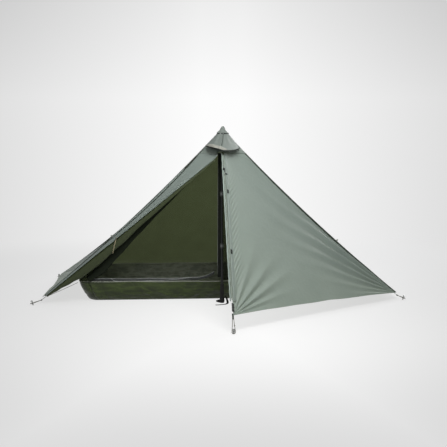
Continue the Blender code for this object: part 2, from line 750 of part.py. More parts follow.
def make_pole(foam, alloy, plastic, webbing):
    grip = turned("pole_grip", [(0.0, GRIP_FLOOR), (GRIP_BORE, GRIP_FLOOR),
                                (GRIP_BORE, GRIP_HEIGHT), (0.0125, GRIP_HEIGHT),
                                (0.0140, 0.1320), (0.0145, 0.1050), (0.0165, 0.0800),
                                (0.0148, 0.0550), (0.0165, 0.0340), (0.0190, 0.0200),
                                (0.0180, 0.0060), (0.0150, 0.0), (0.0, 0.0)], foam, steps=20)
    bm = bmesh.new()
    bmesh.ops.create_uvsphere(bm, u_segments=16, v_segments=8, radius=1.0)
    bmesh.ops.scale(bm, vec=Vector((0.026, 0.0125, 0.0115)), verts=bm.verts)
    beak = mesh_object("grip_beak", bm, None, helper=True)
    beak.location = (-0.020, 0.0, 0.0125)
    join(grip, beak)

    def tube(name, radius, low, high):
        inner = radius - TUBE_WALL
        turned(name, [(radius, high), (radius, low), (inner, low), (inner, high)], alloy, steps=20)

    tube("pole_upper_shaft", UPPER_RADIUS, GRIP_FLOOR + 0.0005, UPPER_END)
    tube("pole_middle_shaft", MIDDLE_RADIUS, MIDDLE_START, MIDDLE_END)
    bore = LOWER_RADIUS - TUBE_WALL
    turned("pole_lower_shaft", [(0.0, SHAFT_TIP_Z), (0.0028, SHAFT_TIP_Z), (0.0040, 1.2520),
                                (LOWER_RADIUS, 1.2380), (LOWER_RADIUS, LOWER_START),
                                (bore, LOWER_START), (bore, 1.2300), (0.0, 1.2300)], alloy,
           steps=20)
    make_lock("low", UPPER_END, UPPER_RADIUS, MIDDLE_RADIUS, plastic)
    make_lock("high", MIDDLE_END, MIDDLE_RADIUS, LOWER_RADIUS, plastic)

    route = [Vector((0.0228, -0.003, 0.049)), Vector((0.032, -0.014, 0.036)),
             Vector((0.037, -0.030, 0.020)), Vector((0.038, -0.047, 0.009)),
             Vector((0.030, -0.064, 0.0035)), Vector((0.012, -0.078, 0.0025)),
             Vector((-0.010, -0.088, 0.0025)), Vector((-0.032, -0.094, 0.0025)),
             Vector((-0.054, -0.098, 0.0025))]

    def strap(u, v):
        index = min(int(round(v * (len(route) - 1))), len(route) - 1)
        ahead, behind = route[min(index + 1, len(route) - 1)], route[max(index - 1, 0)]
        side = (ahead - behind).cross(UP).normalized()
        return route[index] + side * ((u - 0.5) * 0.016)

    sheet("pole_wrist_strap", strap, 1, len(route) - 1, 0.0030, webbing)


def make_lock(name, end, outer_tube, inner_tube, plastic):
    """A flip lock on the end of a shaft: a clamp round both shafts, and its lever."""
    low, high = end - 0.018, end + 0.022
    clamp = turned(f"pole_lock_{name}", [
        (LOCK_RADIUS - 0.001, high), (LOCK_RADIUS, high - 0.002), (LOCK_RADIUS, low + 0.002),
        (LOCK_RADIUS - 0.001, low), (outer_tube + 0.0003, low),
        (outer_tube + 0.0003, end + 0.0006), (inner_tube + 0.0003, end + 0.0006),
        (inner_tube + 0.0003, high)], plastic, steps=24)
    hinge = lever_hinge(end)
    for sign in (-1, 1):
        lug_z = hinge.z + sign * (LEVER_HEIGHT / 2 + 0.0022)
        lug = block(f"lug_{name}_{sign}", (0.0080, 0.0070, 0.0032),
                    Matrix.Translation((hinge.x * 0.90, hinge.y * 0.90, lug_z))
                    @ Matrix.Rotation(math.atan2(hinge.y, hinge.x), 4, "Z"), None, helper=True)
        join(clamp, lug)
    start = math.degrees(math.atan2(hinge.y, hinge.x))
    inner, outer = LOCK_RADIUS + 0.0006, LOCK_RADIUS + 0.0036
    centre = (-hinge.x, -hinge.y)
    outline = arc_points(centre, outer, start, start + 128, 12)
    outline += arc_points(centre, inner, start + 128, start, 12)
    outline += arc_points((0.0, 0.0), (outer - inner) / 2, start + 180, start + 360, 7)[1:-1]
    plate(f"pole_lever_{name}", [outline], LEVER_HEIGHT, Matrix.Translation(hinge), plastic)


def lever_hinge(end):
    """The middle of a lever's hinge axis, which runs up and down beside the clamp."""
    angle = math.radians(-150)
    reach = LOCK_RADIUS + 0.0021
    return Vector((reach * math.cos(angle), reach * math.sin(angle), end + 0.002))


# Corner tabs, peg loops and pegs


def corner_frame(name):
    """Where a corner's webbing eye stands, and the directions across, down and below its ridge."""
    corner = CORNERS[name]
    out = Vector((corner.x, corner.y, 0.0)).normalized()
    across = Vector((-out.y, out.x, 0.0))
    down = (RIDGES[name](0.0) - RIDGES[name](0.03)).normalized()
    below = down.cross(across).normalized()
    below = below if below.z < 0 else -below
    eye = corner + down * 0.017 + below * 0.012
    return eye, across, down, below


def make_corner(name, webbing, cord_finish, metal):
    eye, across, down, below = corner_frame(name)
    half = TAB_THICKNESS / 2
    angle = math.degrees(math.asin(half / EYE_RADIUS))
    outline = arc_points((0, 0), EYE_RADIUS, -180 + angle, 180 - angle, 15)
    outline += [(-0.036, half), (-0.036, -half)]
    hole = list(reversed(arc_points((0, 0), EYE_BORE, 0, 330, 12)))
    plate(f"corner_tab_{name}", [outline, hole], TAB_WIDTH, frame_matrix(eye, down, below),
          webbing)

    (pull_x, pull_y), reach = PULLS[name]
    out = Vector((pull_x, pull_y, 0.0)).normalized()
    beside = Vector((-out.y, out.x, 0.0))
    anchor = Vector((eye.x, eye.y, 0.0)) + out * reach + UP * LOOP_ON_PEG_Z
    fall = anchor - eye
    length = fall.length
    fall.normalize()
    half_width, top_turn, low_turn = LOOP_WIDTH / 2, 0.0045, 0.0120
    flat = arc_points((length - 0.001, half_width - low_turn), low_turn, 90, 0, 6)
    flat += arc_points((length - 0.001, -half_width + low_turn), low_turn, 0, -90, 6)
    flat += arc_points((top_turn, -half_width + top_turn), top_turn, -90, -180, 5)
    flat += arc_points((top_turn, half_width - top_turn), top_turn, 180, 90, 5)
    points = []
    for x, y in flat:
        turned_by = max(0.0, (x / length - 0.3) / 0.7)
        points.append(eye + fall * x + across.lerp(beside, turned_by).normalized() * y)
    cord(f"peg_loop_{name}", points, LOOP_CORD, cord_finish, closed=True, resolution=2)
    make_peg(name, anchor, out, beside, metal)


def make_peg(name, anchor, out, across, metal):
    """A V-section peg that leans out, pushed into the ground, with a lip that holds the loop."""
    shaft = (DOWN * math.cos(PEG_LEAN) - out * math.sin(PEG_LEAN)).normalized()
    head = anchor - shaft * ((PEG_HEAD_Z - LOOP_ON_PEG_Z) / math.cos(PEG_LEAN))
    back = across.cross(shaft).normalized()
    back = back if back.dot(out) > 0 else -back
    narrow = ((0.0, 1.0), (0.80, 0.82), (0.93, 0.45), (1.0, 0.08))

    def wings(u, v):
        wing = mixed(narrow, v) * PEG_WING
        side = 2 * u - 1
        return (head + shaft * (PEG_LENGTH * v) + across * (side * wing * 0.80)
                - back * (abs(side) * wing * 0.62))

    peg = sheet(f"peg_{name}", wings, 2, 6, 0.0018, metal)
    lip = block(f"lip_{name}", (0.013, 0.0085, 0.0022),
                frame_matrix(head + shaft * 0.0035 + back * 0.0026, across, back), None,
                helper=True)
    join(peg, lip)


def main():
    global PARTS, HELPERS
    clear_scene()
    PARTS = collection("Pyramid tent")
    HELPERS = collection("Helpers")

    cloth = material("coated nylon", (0.27, 0.31, 0.26), 0.42)
    cap_cloth = material("reinforced nylon", (0.36, 0.40, 0.37), 0.50)
    groundsheet = material("groundsheet", (0.07, 0.09, 0.045), 0.45)
    mesh_cloth = material("insect mesh", (0.020, 0.022, 0.018), 0.70)
    webbing = material("webbing", (0.10, 0.11, 0.10), 0.75)
    black = material("black binding", (0.015, 0.017, 0.015), 0.60)
    cord_finish = material("guy cord", (0.42, 0.42, 0.37), 0.70)
    foam = material("grip foam", (0.018, 0.018, 0.019), 0.85)
    alloy = material("black alloy tube", (0.025, 0.026, 0.028), 0.35, 0.6)
    metal = material("alloy", (0.42, 0.43, 0.42), 0.35, 0.9)
    plastic = material("black plastic", (0.03, 0.032, 0.03), 0.45)

    make_fly(cloth, webbing)
    make_vent(mesh_cloth, cloth, black, plastic)
    make_peak(cap_cloth, metal)
    make_front_zip(cloth, black, metal, plastic)
    make_door_roll(cloth, cord_finish)
    make_tub(groundsheet)
    make_inner(mesh_cloth, black, metal, cord_finish, plastic)
    make_pole(foam, alloy, plastic, webbing)
    for name in CORNERS:
        make_corner(name, webbing, cord_finish, metal)


main()
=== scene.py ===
"""Looks of a pitched pyramid tent: cloth, net, cords, zips, pole and pegs over the solids."""

import random
from math import asin, atan2, copysign, cos, degrees, exp, hypot, pi, radians, sin

import bmesh
import bpy
from bpy.props import FloatProperty, FloatVectorProperty, IntProperty, PointerProperty
from mathutils import Matrix, Vector, noise


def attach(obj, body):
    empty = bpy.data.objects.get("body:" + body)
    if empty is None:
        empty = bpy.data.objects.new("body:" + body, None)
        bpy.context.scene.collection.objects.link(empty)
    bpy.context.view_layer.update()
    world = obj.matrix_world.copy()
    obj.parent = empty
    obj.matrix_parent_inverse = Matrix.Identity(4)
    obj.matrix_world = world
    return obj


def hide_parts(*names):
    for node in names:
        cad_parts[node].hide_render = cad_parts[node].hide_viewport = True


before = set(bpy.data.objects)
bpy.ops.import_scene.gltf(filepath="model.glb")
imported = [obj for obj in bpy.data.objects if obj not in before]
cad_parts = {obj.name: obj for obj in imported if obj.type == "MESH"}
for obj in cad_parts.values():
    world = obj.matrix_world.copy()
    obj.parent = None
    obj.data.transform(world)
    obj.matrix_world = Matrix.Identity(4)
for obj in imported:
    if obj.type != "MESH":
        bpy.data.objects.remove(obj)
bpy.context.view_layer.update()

bl_info = {
    "name": "Pyramid tent",
    "version": (1, 0, 0),
    "blender": (4, 5, 0),
    "location": "3D View > Sidebar > Tent",
    "description": "Builds a one-person pyramid tent on one pole, with its door rolled back",
    "category": "Add Mesh",
}

UP = Vector((0.0, 0.0, 1.0))
DOWN = Vector((0.0, 0.0, -1.0))
TENT_MIDDLE = Vector((0.0, 0.3, 0.3))

# Corners and ridges of the fly, in metres, and where its cloth ends, as shares of a ridge
FRONT_CORNER = Vector((0.0, -0.980, 0.110))
LEFT_CORNER = Vector((-1.310, 0.040, 0.050))
RIGHT_CORNER = Vector((1.310, 0.040, 0.050))
BACK_LEFT_CORNER = Vector((-1.270, 1.100, 0.040))
BACK_RIGHT_CORNER = Vector((1.270, 1.100, 0.040))
RIDGE_TOP_Z, RIDGE_TOP_RADIUS = 1.250, 0.020
SIDE_RIDGE_SAG, BACK_RIDGE_SAG = 0.028, 0.055
PANEL_BELLY, HEM_RISE, PANEL_EDGE, PANEL_TOP = 0.018, 0.010, 0.0025, 0.880
DOOR_LOW, BACK_TOP = 0.012, 0.985

# Vent, hood, door and zip
VENT_LOW, VENT_HIGH = 0.885, 0.975
HOOD_TOP = (0.036, 0.034, 1.236)
HOOD_SIDE = (0.114, 0.022, 1.150)
HOOD_FRONT_Y, HOOD_FRONT_Z = 0.196, 1.126
FOLD_TOP = Vector((-0.040, -0.136, 1.090))
ROLL_WIDTHS = ((0.0, 0.010), (0.03, 0.014), (0.08, 0.026), (0.145, 0.046), (0.20, 0.064),
               (0.30, 0.068), (0.386, 0.062), (0.576, 0.038), (0.824, 0.022), (0.97, 0.014))
ROLL_FLATNESS, ROLL_HANG, TIE_PLACE, TIE_SLANT = 0.36, 0.009, 0.40, 0.048
ZIP_LOW, ZIP_HIGH, TEETH_ACROSS = 0.075, 0.860, -0.0035
FLAP_LOW, FLAP_HIGH, FLAP_WIDTH = 0.066, 0.868, 0.028

# Inner tent
TUB_RIM_X, TUB_RIM_FRONT, TUB_RIM_BACK = 1.050, 0.100, 0.955
TUB_LEAN_END, TUB_LEAN_FRONT, TUB_HEIGHT, TUB_CORNER = 0.078, 0.062, 0.150, 0.070
TUB_MIDDLE_Y, NET_LOW_Z = 0.53, TUB_HEIGHT + 0.004
INNER_APEX = Vector((0.0, 0.070, 1.120))
INNER_RIDGE_SAG = 0.030

# Webbing eyes, loops and pegs: the way that each loop pulls, and how far it reaches
EYE_RADIUS, EYE_BORE, TAB_THICKNESS, TAB_WIDTH = 0.0052, 0.0029, 0.0028, 0.012
LOOP_ON_PEG_Z = 0.014
PULLS = {
    "front": ((0.0, -1.0), 0.052),
    "left": ((-0.86, -0.51), 0.075),
    "right": ((0.86, -0.51), 0.050),
    "back_left": ((-0.22, 0.97), 0.055),
    "back_right": ((0.22, 0.97), 0.055),
}

# Creases of the front's right half, from its front corner and its right one: angle from the
# ridge and width, in degrees, then slope and reach in metres
FRONT_FAN = [(8, 2.4, 0.45, 0.30), (14, 2.4, -0.45, 0.34), (21, 2.8, 0.85, 0.42),
             (28, 2.8, -0.70, 0.40), (35, 2.8, 1.05, 0.46), (41, 2.4, -0.90, 0.42),
             (47, 2.6, 1.05, 0.46), (52.5, 2.2, -0.75, 0.34), (57, 2.2, 0.80, 0.36),
             (62, 2.0, -0.45, 0.28)]
RIGHT_FAN = [(3.6, 1.2, -1.20, 0.66), (6.8, 1.3, 2.05, 0.74), (10.0, 1.3, -1.85, 0.68),
             (13.6, 1.5, 2.05, 0.66), (17.4, 1.5, -1.85, 0.58), (21.4, 1.6, 1.95, 0.56),
             (25.5, 1.7, -1.60, 0.50), (30.0, 1.9, 1.55, 0.46), (34.6, 1.9, -0.90, 0.42),
             (39.0, 1.8, 0.75, 0.42), (43.5, 1.6, -0.45, 0.34), (47.0, 1.3, 0.45, 0.32)]

# Thicknesses and tolerances that many pieces share
CLOTH_THICKNESS, WEBBING_THICKNESS, TEETH_PITCH = 0.0008, 0.0010, 0.0026
MERGE_DISTANCE, SHARP_ANGLE, TURNED_SHARP_ANGLE = 0.00002, radians(35), radians(38)

# Dirt on the pieces, and the glow of the tub
HEM_DUST, CORD_DIRT = (0.19, 0.17, 0.12), (0.12, 0.11, 0.085)
METAL_DIRT, TUBE_DIRT, FOAM_DUST = (0.08, 0.07, 0.055), (0.05, 0.048, 0.042), (0.055, 0.052, 0.045)
TUB_GLOW = (0.10, 0.13, 0.04)

# Camera, from the photograph: its lens in pixels of the picture's side, its place and its dip
PICTURE_SIDE, FOCAL_LENGTH, SIDE_SHIFT, SENSOR = 447.0, 996.0, 1.5, 36.0
CAMERA_PLACE, CAMERA_DIP = (-0.5167, -7.1815, 1.419), 6.607
CAMERA_TURN_COS, CAMERA_TURN_SIN = 0.9974, 0.0718

# Backdrop: its greys, and where it darkens, as the start, length and share of each fall
BACKDROP_GREYS = (0.98, 0.57)
DUSK_SIDES, DUSK_TOP, DUSK_FOOT = (0.02, 0.22, 0.63), (0.01, 0.15, 0.50), (0.215, 0.14, 0.70)
LIGHTS = (
    # name, place, target, size, power, colour
    ("Key light", (0.25, -1.75, 2.40), (0.05, -0.20, 0.88), 1.3, 56.5, (1.0, 0.995, 0.98)),
    ("Left light", (-4.4, 0.8, 2.8), (-0.3, 0.5, 0.3), 2.2, 18.0, (0.97, 0.98, 1.0)),
    ("Right light", (3.2, 3.6, 2.4), (0.5, 0.5, 0.3), 2.0, 66.0, (0.98, 0.99, 1.0)),
    ("Back light", (0.75, 1.60, 2.25), (0.05, 0.35, 0.8), 0.9, 16.0, (1.0, 1.0, 0.98)),
)


# Numbers that rise and fall


def ramp(value, start, length):
    """0 at the start and 1 a length further on, straight between them. A length may be negative."""
    return min(max((value - start) / length, 0.0), 1.0)


def bell(distance, width):
    """1 at no distance, and less and less on both sides."""
    return exp(-(distance / width) ** 2)


def drift(x, y, z):
    """Smooth noise round 0 at this place."""
    return noise.noise(Vector((x, y, z)))


def mixed(table, place):
    """Reads a table of (place, value) pairs, smoothly between them."""
    if place <= table[0][0]:
        return table[0][1]
    for (low, low_value), (high, high_value) in zip(table, table[1:]):
        if place <= high:
            share = (place - low) / (high - low)
            share = share * share * (3 - 2 * share)
            return low_value + (high_value - low_value) * share
    return table[-1][1]


# Node trees: a value that takes part in sums, and one way to make any node


class Value:
    """One output of a node. Sums with it add Math nodes."""

    def __init__(self, finish, socket):
        self.finish = finish
        self.socket = socket

    def sum_of(self, operation, first, second=0.0, clamp=False):
        return self.finish.node("Math", {"operation": operation, "use_clamp": clamp},
                                {0: first, 1: second})

    def __add__(self, other):
        return self.sum_of("ADD", self, other)

    __radd__ = __add__

    def __sub__(self, other):
        return self.sum_of("SUBTRACT", self, other)

    def __rsub__(self, other):
        return self.sum_of("SUBTRACT", other, self)

    def __mul__(self, other):
        return self.sum_of("MULTIPLY", self, other)

    __rmul__ = __mul__

    def __truediv__(self, other):
        return self.sum_of("DIVIDE", self, other)

    def __rtruediv__(self, other):
        return self.sum_of("DIVIDE", other, self)

    def __neg__(self):
        return self.sum_of("MULTIPLY", self, -1.0)

    def __abs__(self):
        return self.sum_of("ABSOLUTE", self)

    def clamped(self):
        return self.sum_of("ADD", self, 0.0, clamp=True)

    def most(self, other):
        return self.sum_of("MAXIMUM", self, other)

    def folded_at(self, length):
        """A value that runs up to length and back down to 0, over and over."""
        return self.sum_of("PINGPONG", self, length)

    def wave(self):
        return self.sum_of("SINE", self)


class Finish:
    """A material or a world, and the nodes that it is made of."""

    def __init__(self, name, owner=None):
        self.material = owner or bpy.data.materials.new(name)
        self.material.use_nodes = True
        self.tree = self.material.node_tree
        self.tree.nodes.clear()

    def node(self, kind, settings, sockets, output=0):
        """Adds a node: its settings first, then the values or links of its sockets."""
        made = self.tree.nodes.new("ShaderNode" + kind)
        for name, value in settings.items():
            setattr(made, name, value)
        for name, value in sockets.items():
            if isinstance(value, Value):
                self.tree.links.new(value.socket, made.inputs[name])
            else:
                made.inputs[name].default_value = value
        return Value(self, made.outputs[output]) if len(made.outputs) else None

    def split(self, vector):
        made = self.node("SeparateXYZ", {}, {0: vector})
        return [Value(self, output) for output in made.socket.node.outputs]

    def looked_at(self):
        """1 for what the eye sees, also mirrored or through glass, and 0 for light that bounces."""
        kinds = ("Is Camera Ray", "Is Glossy Ray", "Is Transmission Ray")
        straight, mirrored, passed = (self.node("LightPath", {}, {}, kind) for kind in kinds)
        return straight.most(mirrored).most(passed)

    def blend(self, share, first, second):
        return self.node("MixShader", {}, {0: share, 1: first, 2: second})

    def backdrop(self, kind):
        """An even grey, bright in the middle and dusky at the sides, the top and the foot."""
        x, y, z = self.split(self.node("NewGeometry", {}, {}, "Incoming"))
        aside = abs(x * CAMERA_TURN_COS - y * CAMERA_TURN_SIN)
        sides, top, foot = (
            ((value - start) / length).clamped() * share for value, (start, length, share)
            in ((aside, DUSK_SIDES), (-z, DUSK_TOP), (z, DUSK_FOOT)))
        bright, dusky = (self.node(kind, {}, {"Color": (grey, grey, grey, 1.0), "Strength": 1.0})
                         for grey in BACKDROP_GREYS)
        return self.blend((sides.most(foot) + top).clamped(), bright, dusky)

    def cloth_place(self, layer="Cloth"):
        return self.split(self.node("UVMap", {"uv_map": layer}, {}))

    def object_place(self):
        return self.node("TexCoord", {}, {}, "Object")

    def speckle(self, scale, detail=2.0, place=None):
        return self.node("TexNoise", {}, {"Vector": place or self.object_place(), "Scale": scale,
                                          "Detail": detail, "Roughness": 0.5})

    def tint(self, share, first, second):
        """A colour between two: each is three numbers or a value."""
        colours = [c if isinstance(c, Value) else (*c, 1.0) for c in (first, second)]
        return self.node("Mix", {"data_type": "RGBA"}, {0: share, 6: colours[0], 7: colours[1]}, 2)

    def grid(self, first, second, spacing, width):
        """1 on lines in both directions that lie a spacing apart, and 0 between them."""
        one, other = ((1.0 - across.folded_at(spacing / 2) / width).clamped()
                      for across in (first, second))
        return one.most(other)

    def relief(self, height, depth, strength):
        return self.node("Bump", {}, {"Strength": strength, "Distance": depth, "Height": height})

    def principled(self, **sockets):
        return self.node("BsdfPrincipled", {}, {k.replace("_", " "): v for k, v in sockets.items()})

    def finished(self, shader, kind="OutputMaterial"):
        self.node(kind, {}, {"Surface": shader})
        return self.material

    def surfaced(self, **sockets):
        return self.finished(self.principled(**sockets))


FINISHES = {}


def once(maker):
    """Makes a finish only the first time that its name is asked for."""
    def finish_of(name, *details, **more):
        if name not in FINISHES:
            FINISHES[name] = maker(name, *details, **more)
        return FINISHES[name]

    return finish_of


def rgb(colour):
    return tuple(colour)[:3]


def paler(colour, share):
    return tuple(min(1.0, c * share) for c in rgb(colour))


@once
def coated_cloth(name, colour, spacing, glow, glow_share, roughness, hem=True, crumple=1.0,
                 gloss=0.4, streaks=0.0):
    """Thin coated ripstop: a fine grid of ribs, soft creases with painted highlights on their
    crests, dust at the hem, light through it.
    """
    finish = Finish(name)
    x, y, _ = finish.cloth_place()
    ribs = finish.grid(x, y, spacing, spacing * 0.14)
    cloudy = finish.speckle(3.2, 3.0)
    fine = finish.speckle(120.0)
    creased = (1.0 - abs(finish.speckle(13.0, 3.0) - 0.5) * 14.0).clamped()
    shade = (cloudy - 0.5) * 0.9 + (fine - 0.5) * 0.25 + 0.5
    base = finish.tint(shade.clamped(), paler(colour, 0.90), paler(colour, 1.10))
    base = finish.tint(ribs * 0.22, base, paler(colour, 0.72))
    # Painted highlight: the crease lines are tinted paler, as light on the crests of the folds; the
    # relief of the same lines is a real bump
    base = finish.tint(creased * (0.16 * crumple), base, paler(colour, 1 + 0.22 * crumple))
    rough = (cloudy - 0.5) * 0.16 + (fine - 0.5) * 0.10 + roughness - ribs * 0.05
    height = ribs * 0.10 + fine * 0.06 + creased * (0.55 * crumple) + cloudy * (0.3 * crumple)
    # Painted highlight: pale streaks drawn along the folds, as sheen on their crests
    if streaks:
        drawn = finish.node("CombineXYZ", {}, {0: x * 2.0 + y * 3.0, 1: y * 9.0 - x * 0.8, 2: 0.0})
        lines = (1.0 - abs(finish.speckle(2.2, 2.5, drawn) - 0.5) * 12.0).clamped()
        base = finish.tint(lines * streaks, base, paler(colour, 2.8))
        height = height + lines * 1.4
    if hem:
        from_side, from_hem, _ = finish.cloth_place("Edge")
        band = (1.0 - abs(from_hem - 0.0135) / 0.0012).clamped()
        seam = (1.0 - abs(from_side - 0.011) / 0.0012).clamped().most(band)
        dust = ((0.10 - from_hem) * 9.0).clamped() * (finish.speckle(24.0, 4.0) * 1.5 - 0.3)
        base = finish.tint(seam * 0.45, base, paler(colour, 0.45))
        base = finish.tint(dust.clamped() * 0.22, base, HEM_DUST)
        height = height - seam * 0.5
    coated = finish.principled(Base_Color=base, Roughness=rough, Specular_IOR_Level=gloss,
                               Normal=finish.relief(height, 0.0011, 0.75))
    through = finish.node("BsdfTranslucent", {}, {"Color": (*rgb(glow), 1.0)})
    return finish.finished(finish.blend(glow_share, coated, through))


@once
def insect_net(name, colour, spacing, open_share):
    """Fine net: dark threads in both directions, and air between them."""
    finish = Finish(name)
    x, y, _ = finish.cloth_place()
    threads = finish.grid(x + y, x - y, spacing, spacing * 0.36)
    cloudy = finish.speckle(7.0)
    cover = (threads * 0.42 + (cloudy - 0.5) * 0.16 + (0.70 - open_share)).clamped()
    base = finish.tint(threads, paler(colour, 0.7), paler(colour, 1.5))
    return finish.surfaced(Base_Color=base, Roughness=0.72 + (cloudy - 0.5) * 0.1,
                           Specular_IOR_Level=0.15, Alpha=cover,
                           Normal=finish.relief(threads, 0.0003, 0.4))


@once
def gathered_net(name, colour):
    """The same net where many layers lie on each other, so that nothing shows through."""
    finish = Finish(name)
    x, y, _ = finish.cloth_place()
    threads = finish.grid(x + y, x - y, 0.004, 0.0011)
    strands = finish.speckle(60.0, 3.0)
    base = finish.tint((threads * 0.5 + strands * 0.5).clamped(), paler(colour, 1.3),
                       paler(colour, 3.0))
    return finish.surfaced(Base_Color=base, Roughness=0.75 + (strands - 0.5) * 0.12,
                           Specular_IOR_Level=0.10,
                           Normal=finish.relief(threads * 0.5 + strands, 0.0008, 0.7))


@once
def woven_tape(name, colour, roughness=0.8):
    """Webbing and binding: twill lines across it, rows along it, and rubbed places."""
    spacing = 0.0016
    finish = Finish(name)
    x, y, _ = finish.cloth_place()
    twill = ((x * 0.7 + y) * (2 * pi / spacing)).wave() * 0.5 + 0.5
    rows = (y * (2 * pi / (spacing * 3.0))).wave() * 0.5 + 0.5
    worn = finish.speckle(45.0, 3.0)
    base = finish.tint(twill * 0.6 + rows * 0.2, paler(colour, 0.66), paler(colour, 1.25))
    base = finish.tint((worn * 2.0 - 1.0).clamped() * 0.4, base, paler(colour, 1.6))
    return finish.surfaced(Base_Color=base, Roughness=(worn - 0.5) * 0.12 + roughness,
                           Specular_IOR_Level=0.25,
                           Normal=finish.relief(twill * 0.7 + rows * 0.3, 0.0004, 0.8))


@once
def braided_cord(name, colour):
    """Cord braided from two sets of strands, with dirt in the braid."""
    finish = Finish(name)
    x, y, z = finish.split(finish.object_place())
    first = ((x + y + z) * 1900.0).wave()
    second = ((x + y - z) * 1900.0).wave()
    braid = (first * second) * 0.5 + 0.5
    dirt = finish.speckle(70.0, 3.0)
    base = finish.tint(braid, paler(colour, 0.72), paler(colour, 1.12))
    base = finish.tint((dirt * 1.6 - 0.7).clamped() * 0.4, base, CORD_DIRT)
    return finish.surfaced(Base_Color=base, Roughness=0.78 + (dirt - 0.5) * 0.1,
                           Normal=finish.relief(braid, 0.0004, 0.7))


@once
def moulded_plastic(name, colour, roughness=0.5):
    """Fine-grained plastic, paler where it is rubbed."""
    finish = Finish(name)
    grain = finish.speckle(900.0)
    rubbed = finish.speckle(90.0, 4.0)
    base = finish.tint((rubbed * 1.8 - 0.9).clamped() * 0.35, rgb(colour), paler(colour, 2.2))
    return finish.surfaced(Base_Color=base, Roughness=(rubbed - 0.5) * 0.2 + roughness,
                           Normal=finish.relief(grain, 0.0002, 0.5))


@once
def worn_metal(name, colour, roughness, metallic, scratch=0.5, dirt_colour=METAL_DIRT):
    """Metal with fine drawn lines, rubbed places and a little dirt."""
    finish = Finish(name)
    x, y, z = finish.split(finish.object_place())
    drawn = finish.node("TexNoise", {}, {"Vector": finish.node(
        "CombineXYZ", {}, {0: x * 400.0, 1: y * 400.0, 2: z * 12.0}), "Scale": 1.0, "Detail": 2.0})
    rubbed = finish.speckle(38.0, 4.0)
    base = finish.tint(drawn * scratch, paler(colour, 0.82), paler(colour, 1.25))
    base = finish.tint((rubbed * 2.2 - 1.25).clamped() * 0.35, base, dirt_colour)
    return finish.surfaced(Base_Color=base, Metallic=metallic,
                           Roughness=(rubbed - 0.5) * 0.25 + roughness + (drawn - 0.5) * 0.08,
                           Normal=finish.relief(drawn * 0.4 + rubbed * 0.2, 0.0002, 0.4))


@once
def soft_foam(name, colour):
    """Foam with small cells and pale dust."""
    finish = Finish(name)
    cells = finish.node("TexVoronoi", {}, {"Vector": finish.object_place(), "Scale": 700.0})
    dust = finish.speckle(60.0, 4.0)
    base = finish.tint((dust * 1.8 - 0.75).clamped() * 0.5, rgb(colour), FOAM_DUST)
    return finish.surfaced(Base_Color=base, Roughness=(dust - 0.5) * 0.1 + 0.85,
                           Normal=finish.relief(cells, 0.0003, 0.6))


# Mesh making


def placed(name, data, *materials):
    made = bpy.data.objects.new(name, data)
    bpy.context.scene.collection.objects.link(made)
    for material in materials:
        data.materials.append(material)
    return made


def piece(name, data, materials, nodes, matrix=Matrix()):
    """A piece on the tent's body, in place of these nodes of the model."""
    made = placed(name, data, *materials)
    made.matrix_world = matrix
    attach(made, "tent")
    if nodes:
        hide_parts(*nodes)
    return made


def mesh_of(name, bm):
    data = bpy.data.meshes.new(name)
    bm.to_mesh(data)
    bm.free()
    return data


def plane_of(left, right, top):
    """The flat plane through three points: its origin, its level axis and its axis up the slope."""
    level = (right - left).normalized()
    normal = level.cross(top - left).normalized()
    return left, level, normal.cross(level)


def cloth(name, surface, columns, rows, materials, thickness=CLOTH_THICKNESS, plane=None,
          size=(1.0, 1.0), inside=TENT_MIDDLE, closed=False, nodes=()):
    """A grid bent over surface(u, v), with the places of weave and hem in metres as UV maps."""
    bm = bmesh.new()
    bmesh.ops.create_grid(bm, x_segments=columns, y_segments=rows, size=0.5)
    weave = bm.loops.layers.uv.new("Cloth")
    edge = bm.loops.layers.uv.new("Edge")
    flat = {v: (v.co.x + 0.5, v.co.y + 0.5) for v in bm.verts}
    for vertex, (u, v) in flat.items():
        vertex.co = surface(u, v)
    for face in bm.faces:
        for loop in face.loops:
            u, v = flat[loop.vert]
            if plane:
                offset = loop.vert.co - plane[0]
                loop[weave].uv = (offset.dot(plane[1]), offset.dot(plane[2]))
                width = size[0] * (1 - v)
            else:
                loop[weave].uv = (u * size[0], v * size[1])
                width = size[0]
            loop[edge].uv = (min(u, 1 - u) * width, v * size[1])
    if closed:
        bmesh.ops.remove_doubles(bm, verts=bm.verts, dist=MERGE_DISTANCE)
    bm.normal_update()
    facing = sum(f.normal.dot(f.calc_center_median() - inside) * f.calc_area() for f in bm.faces)
    if facing < 0:
        bmesh.ops.reverse_faces(bm, faces=bm.faces)
    made = piece(name, mesh_of(name, bm), materials, nodes)
    made.data.shade_smooth()
    if thickness:
        shell = made.modifiers.new("Thickness", "SOLIDIFY")
        shell.thickness = thickness
        shell.offset = 0.0
        shell.material_offset = len(materials) - 1
    return made


def smooth_line(points, steps):
    """A smooth curve through the points, as steps points for each stretch."""
    line = []
    for i in range(len(points) - 1):
        a = points[max(i - 1, 0)]
        b, c = points[i], points[i + 1]
        d = points[min(i + 2, len(points) - 1)]
        for k in range(steps):
            t = k / steps
            line.append(0.5 * ((2 * b) + (c - a) * t + (2 * a - 5 * b + 4 * c - d) * t * t
                               + (3 * b - a - 3 * c + d) * t ** 3))
    line.append(points[-1].copy())
    return line


def length_of(points):
    return sum((b - a).length for a, b in zip(points, points[1:]))


def add_line(curve, points, closed):
    """Adds a line of straight stretches to a curve."""
    spline = curve.splines.new("POLY")
    spline.points.add(len(points) - 1)
    for spline_point, point in zip(spline.points, points):
        spline_point.co = (*point, 1.0)
    spline.use_cyclic_u = closed
    return spline


def round_cord(name, points, radius, material, resolution=3, nodes=(), thin=1.0):
    """A cord through the points, which has only the thin share of its radius at every other one."""
    data = bpy.data.curves.new(name, "CURVE")
    data.dimensions = "3D"
    data.bevel_depth = radius
    data.bevel_resolution = resolution
    data.use_fill_caps = True
    line = add_line(data, points, False)
    line.use_smooth = True
    for point in list(line.points)[::2]:
        point.radius = thin
    return piece(name, data, [material], nodes)


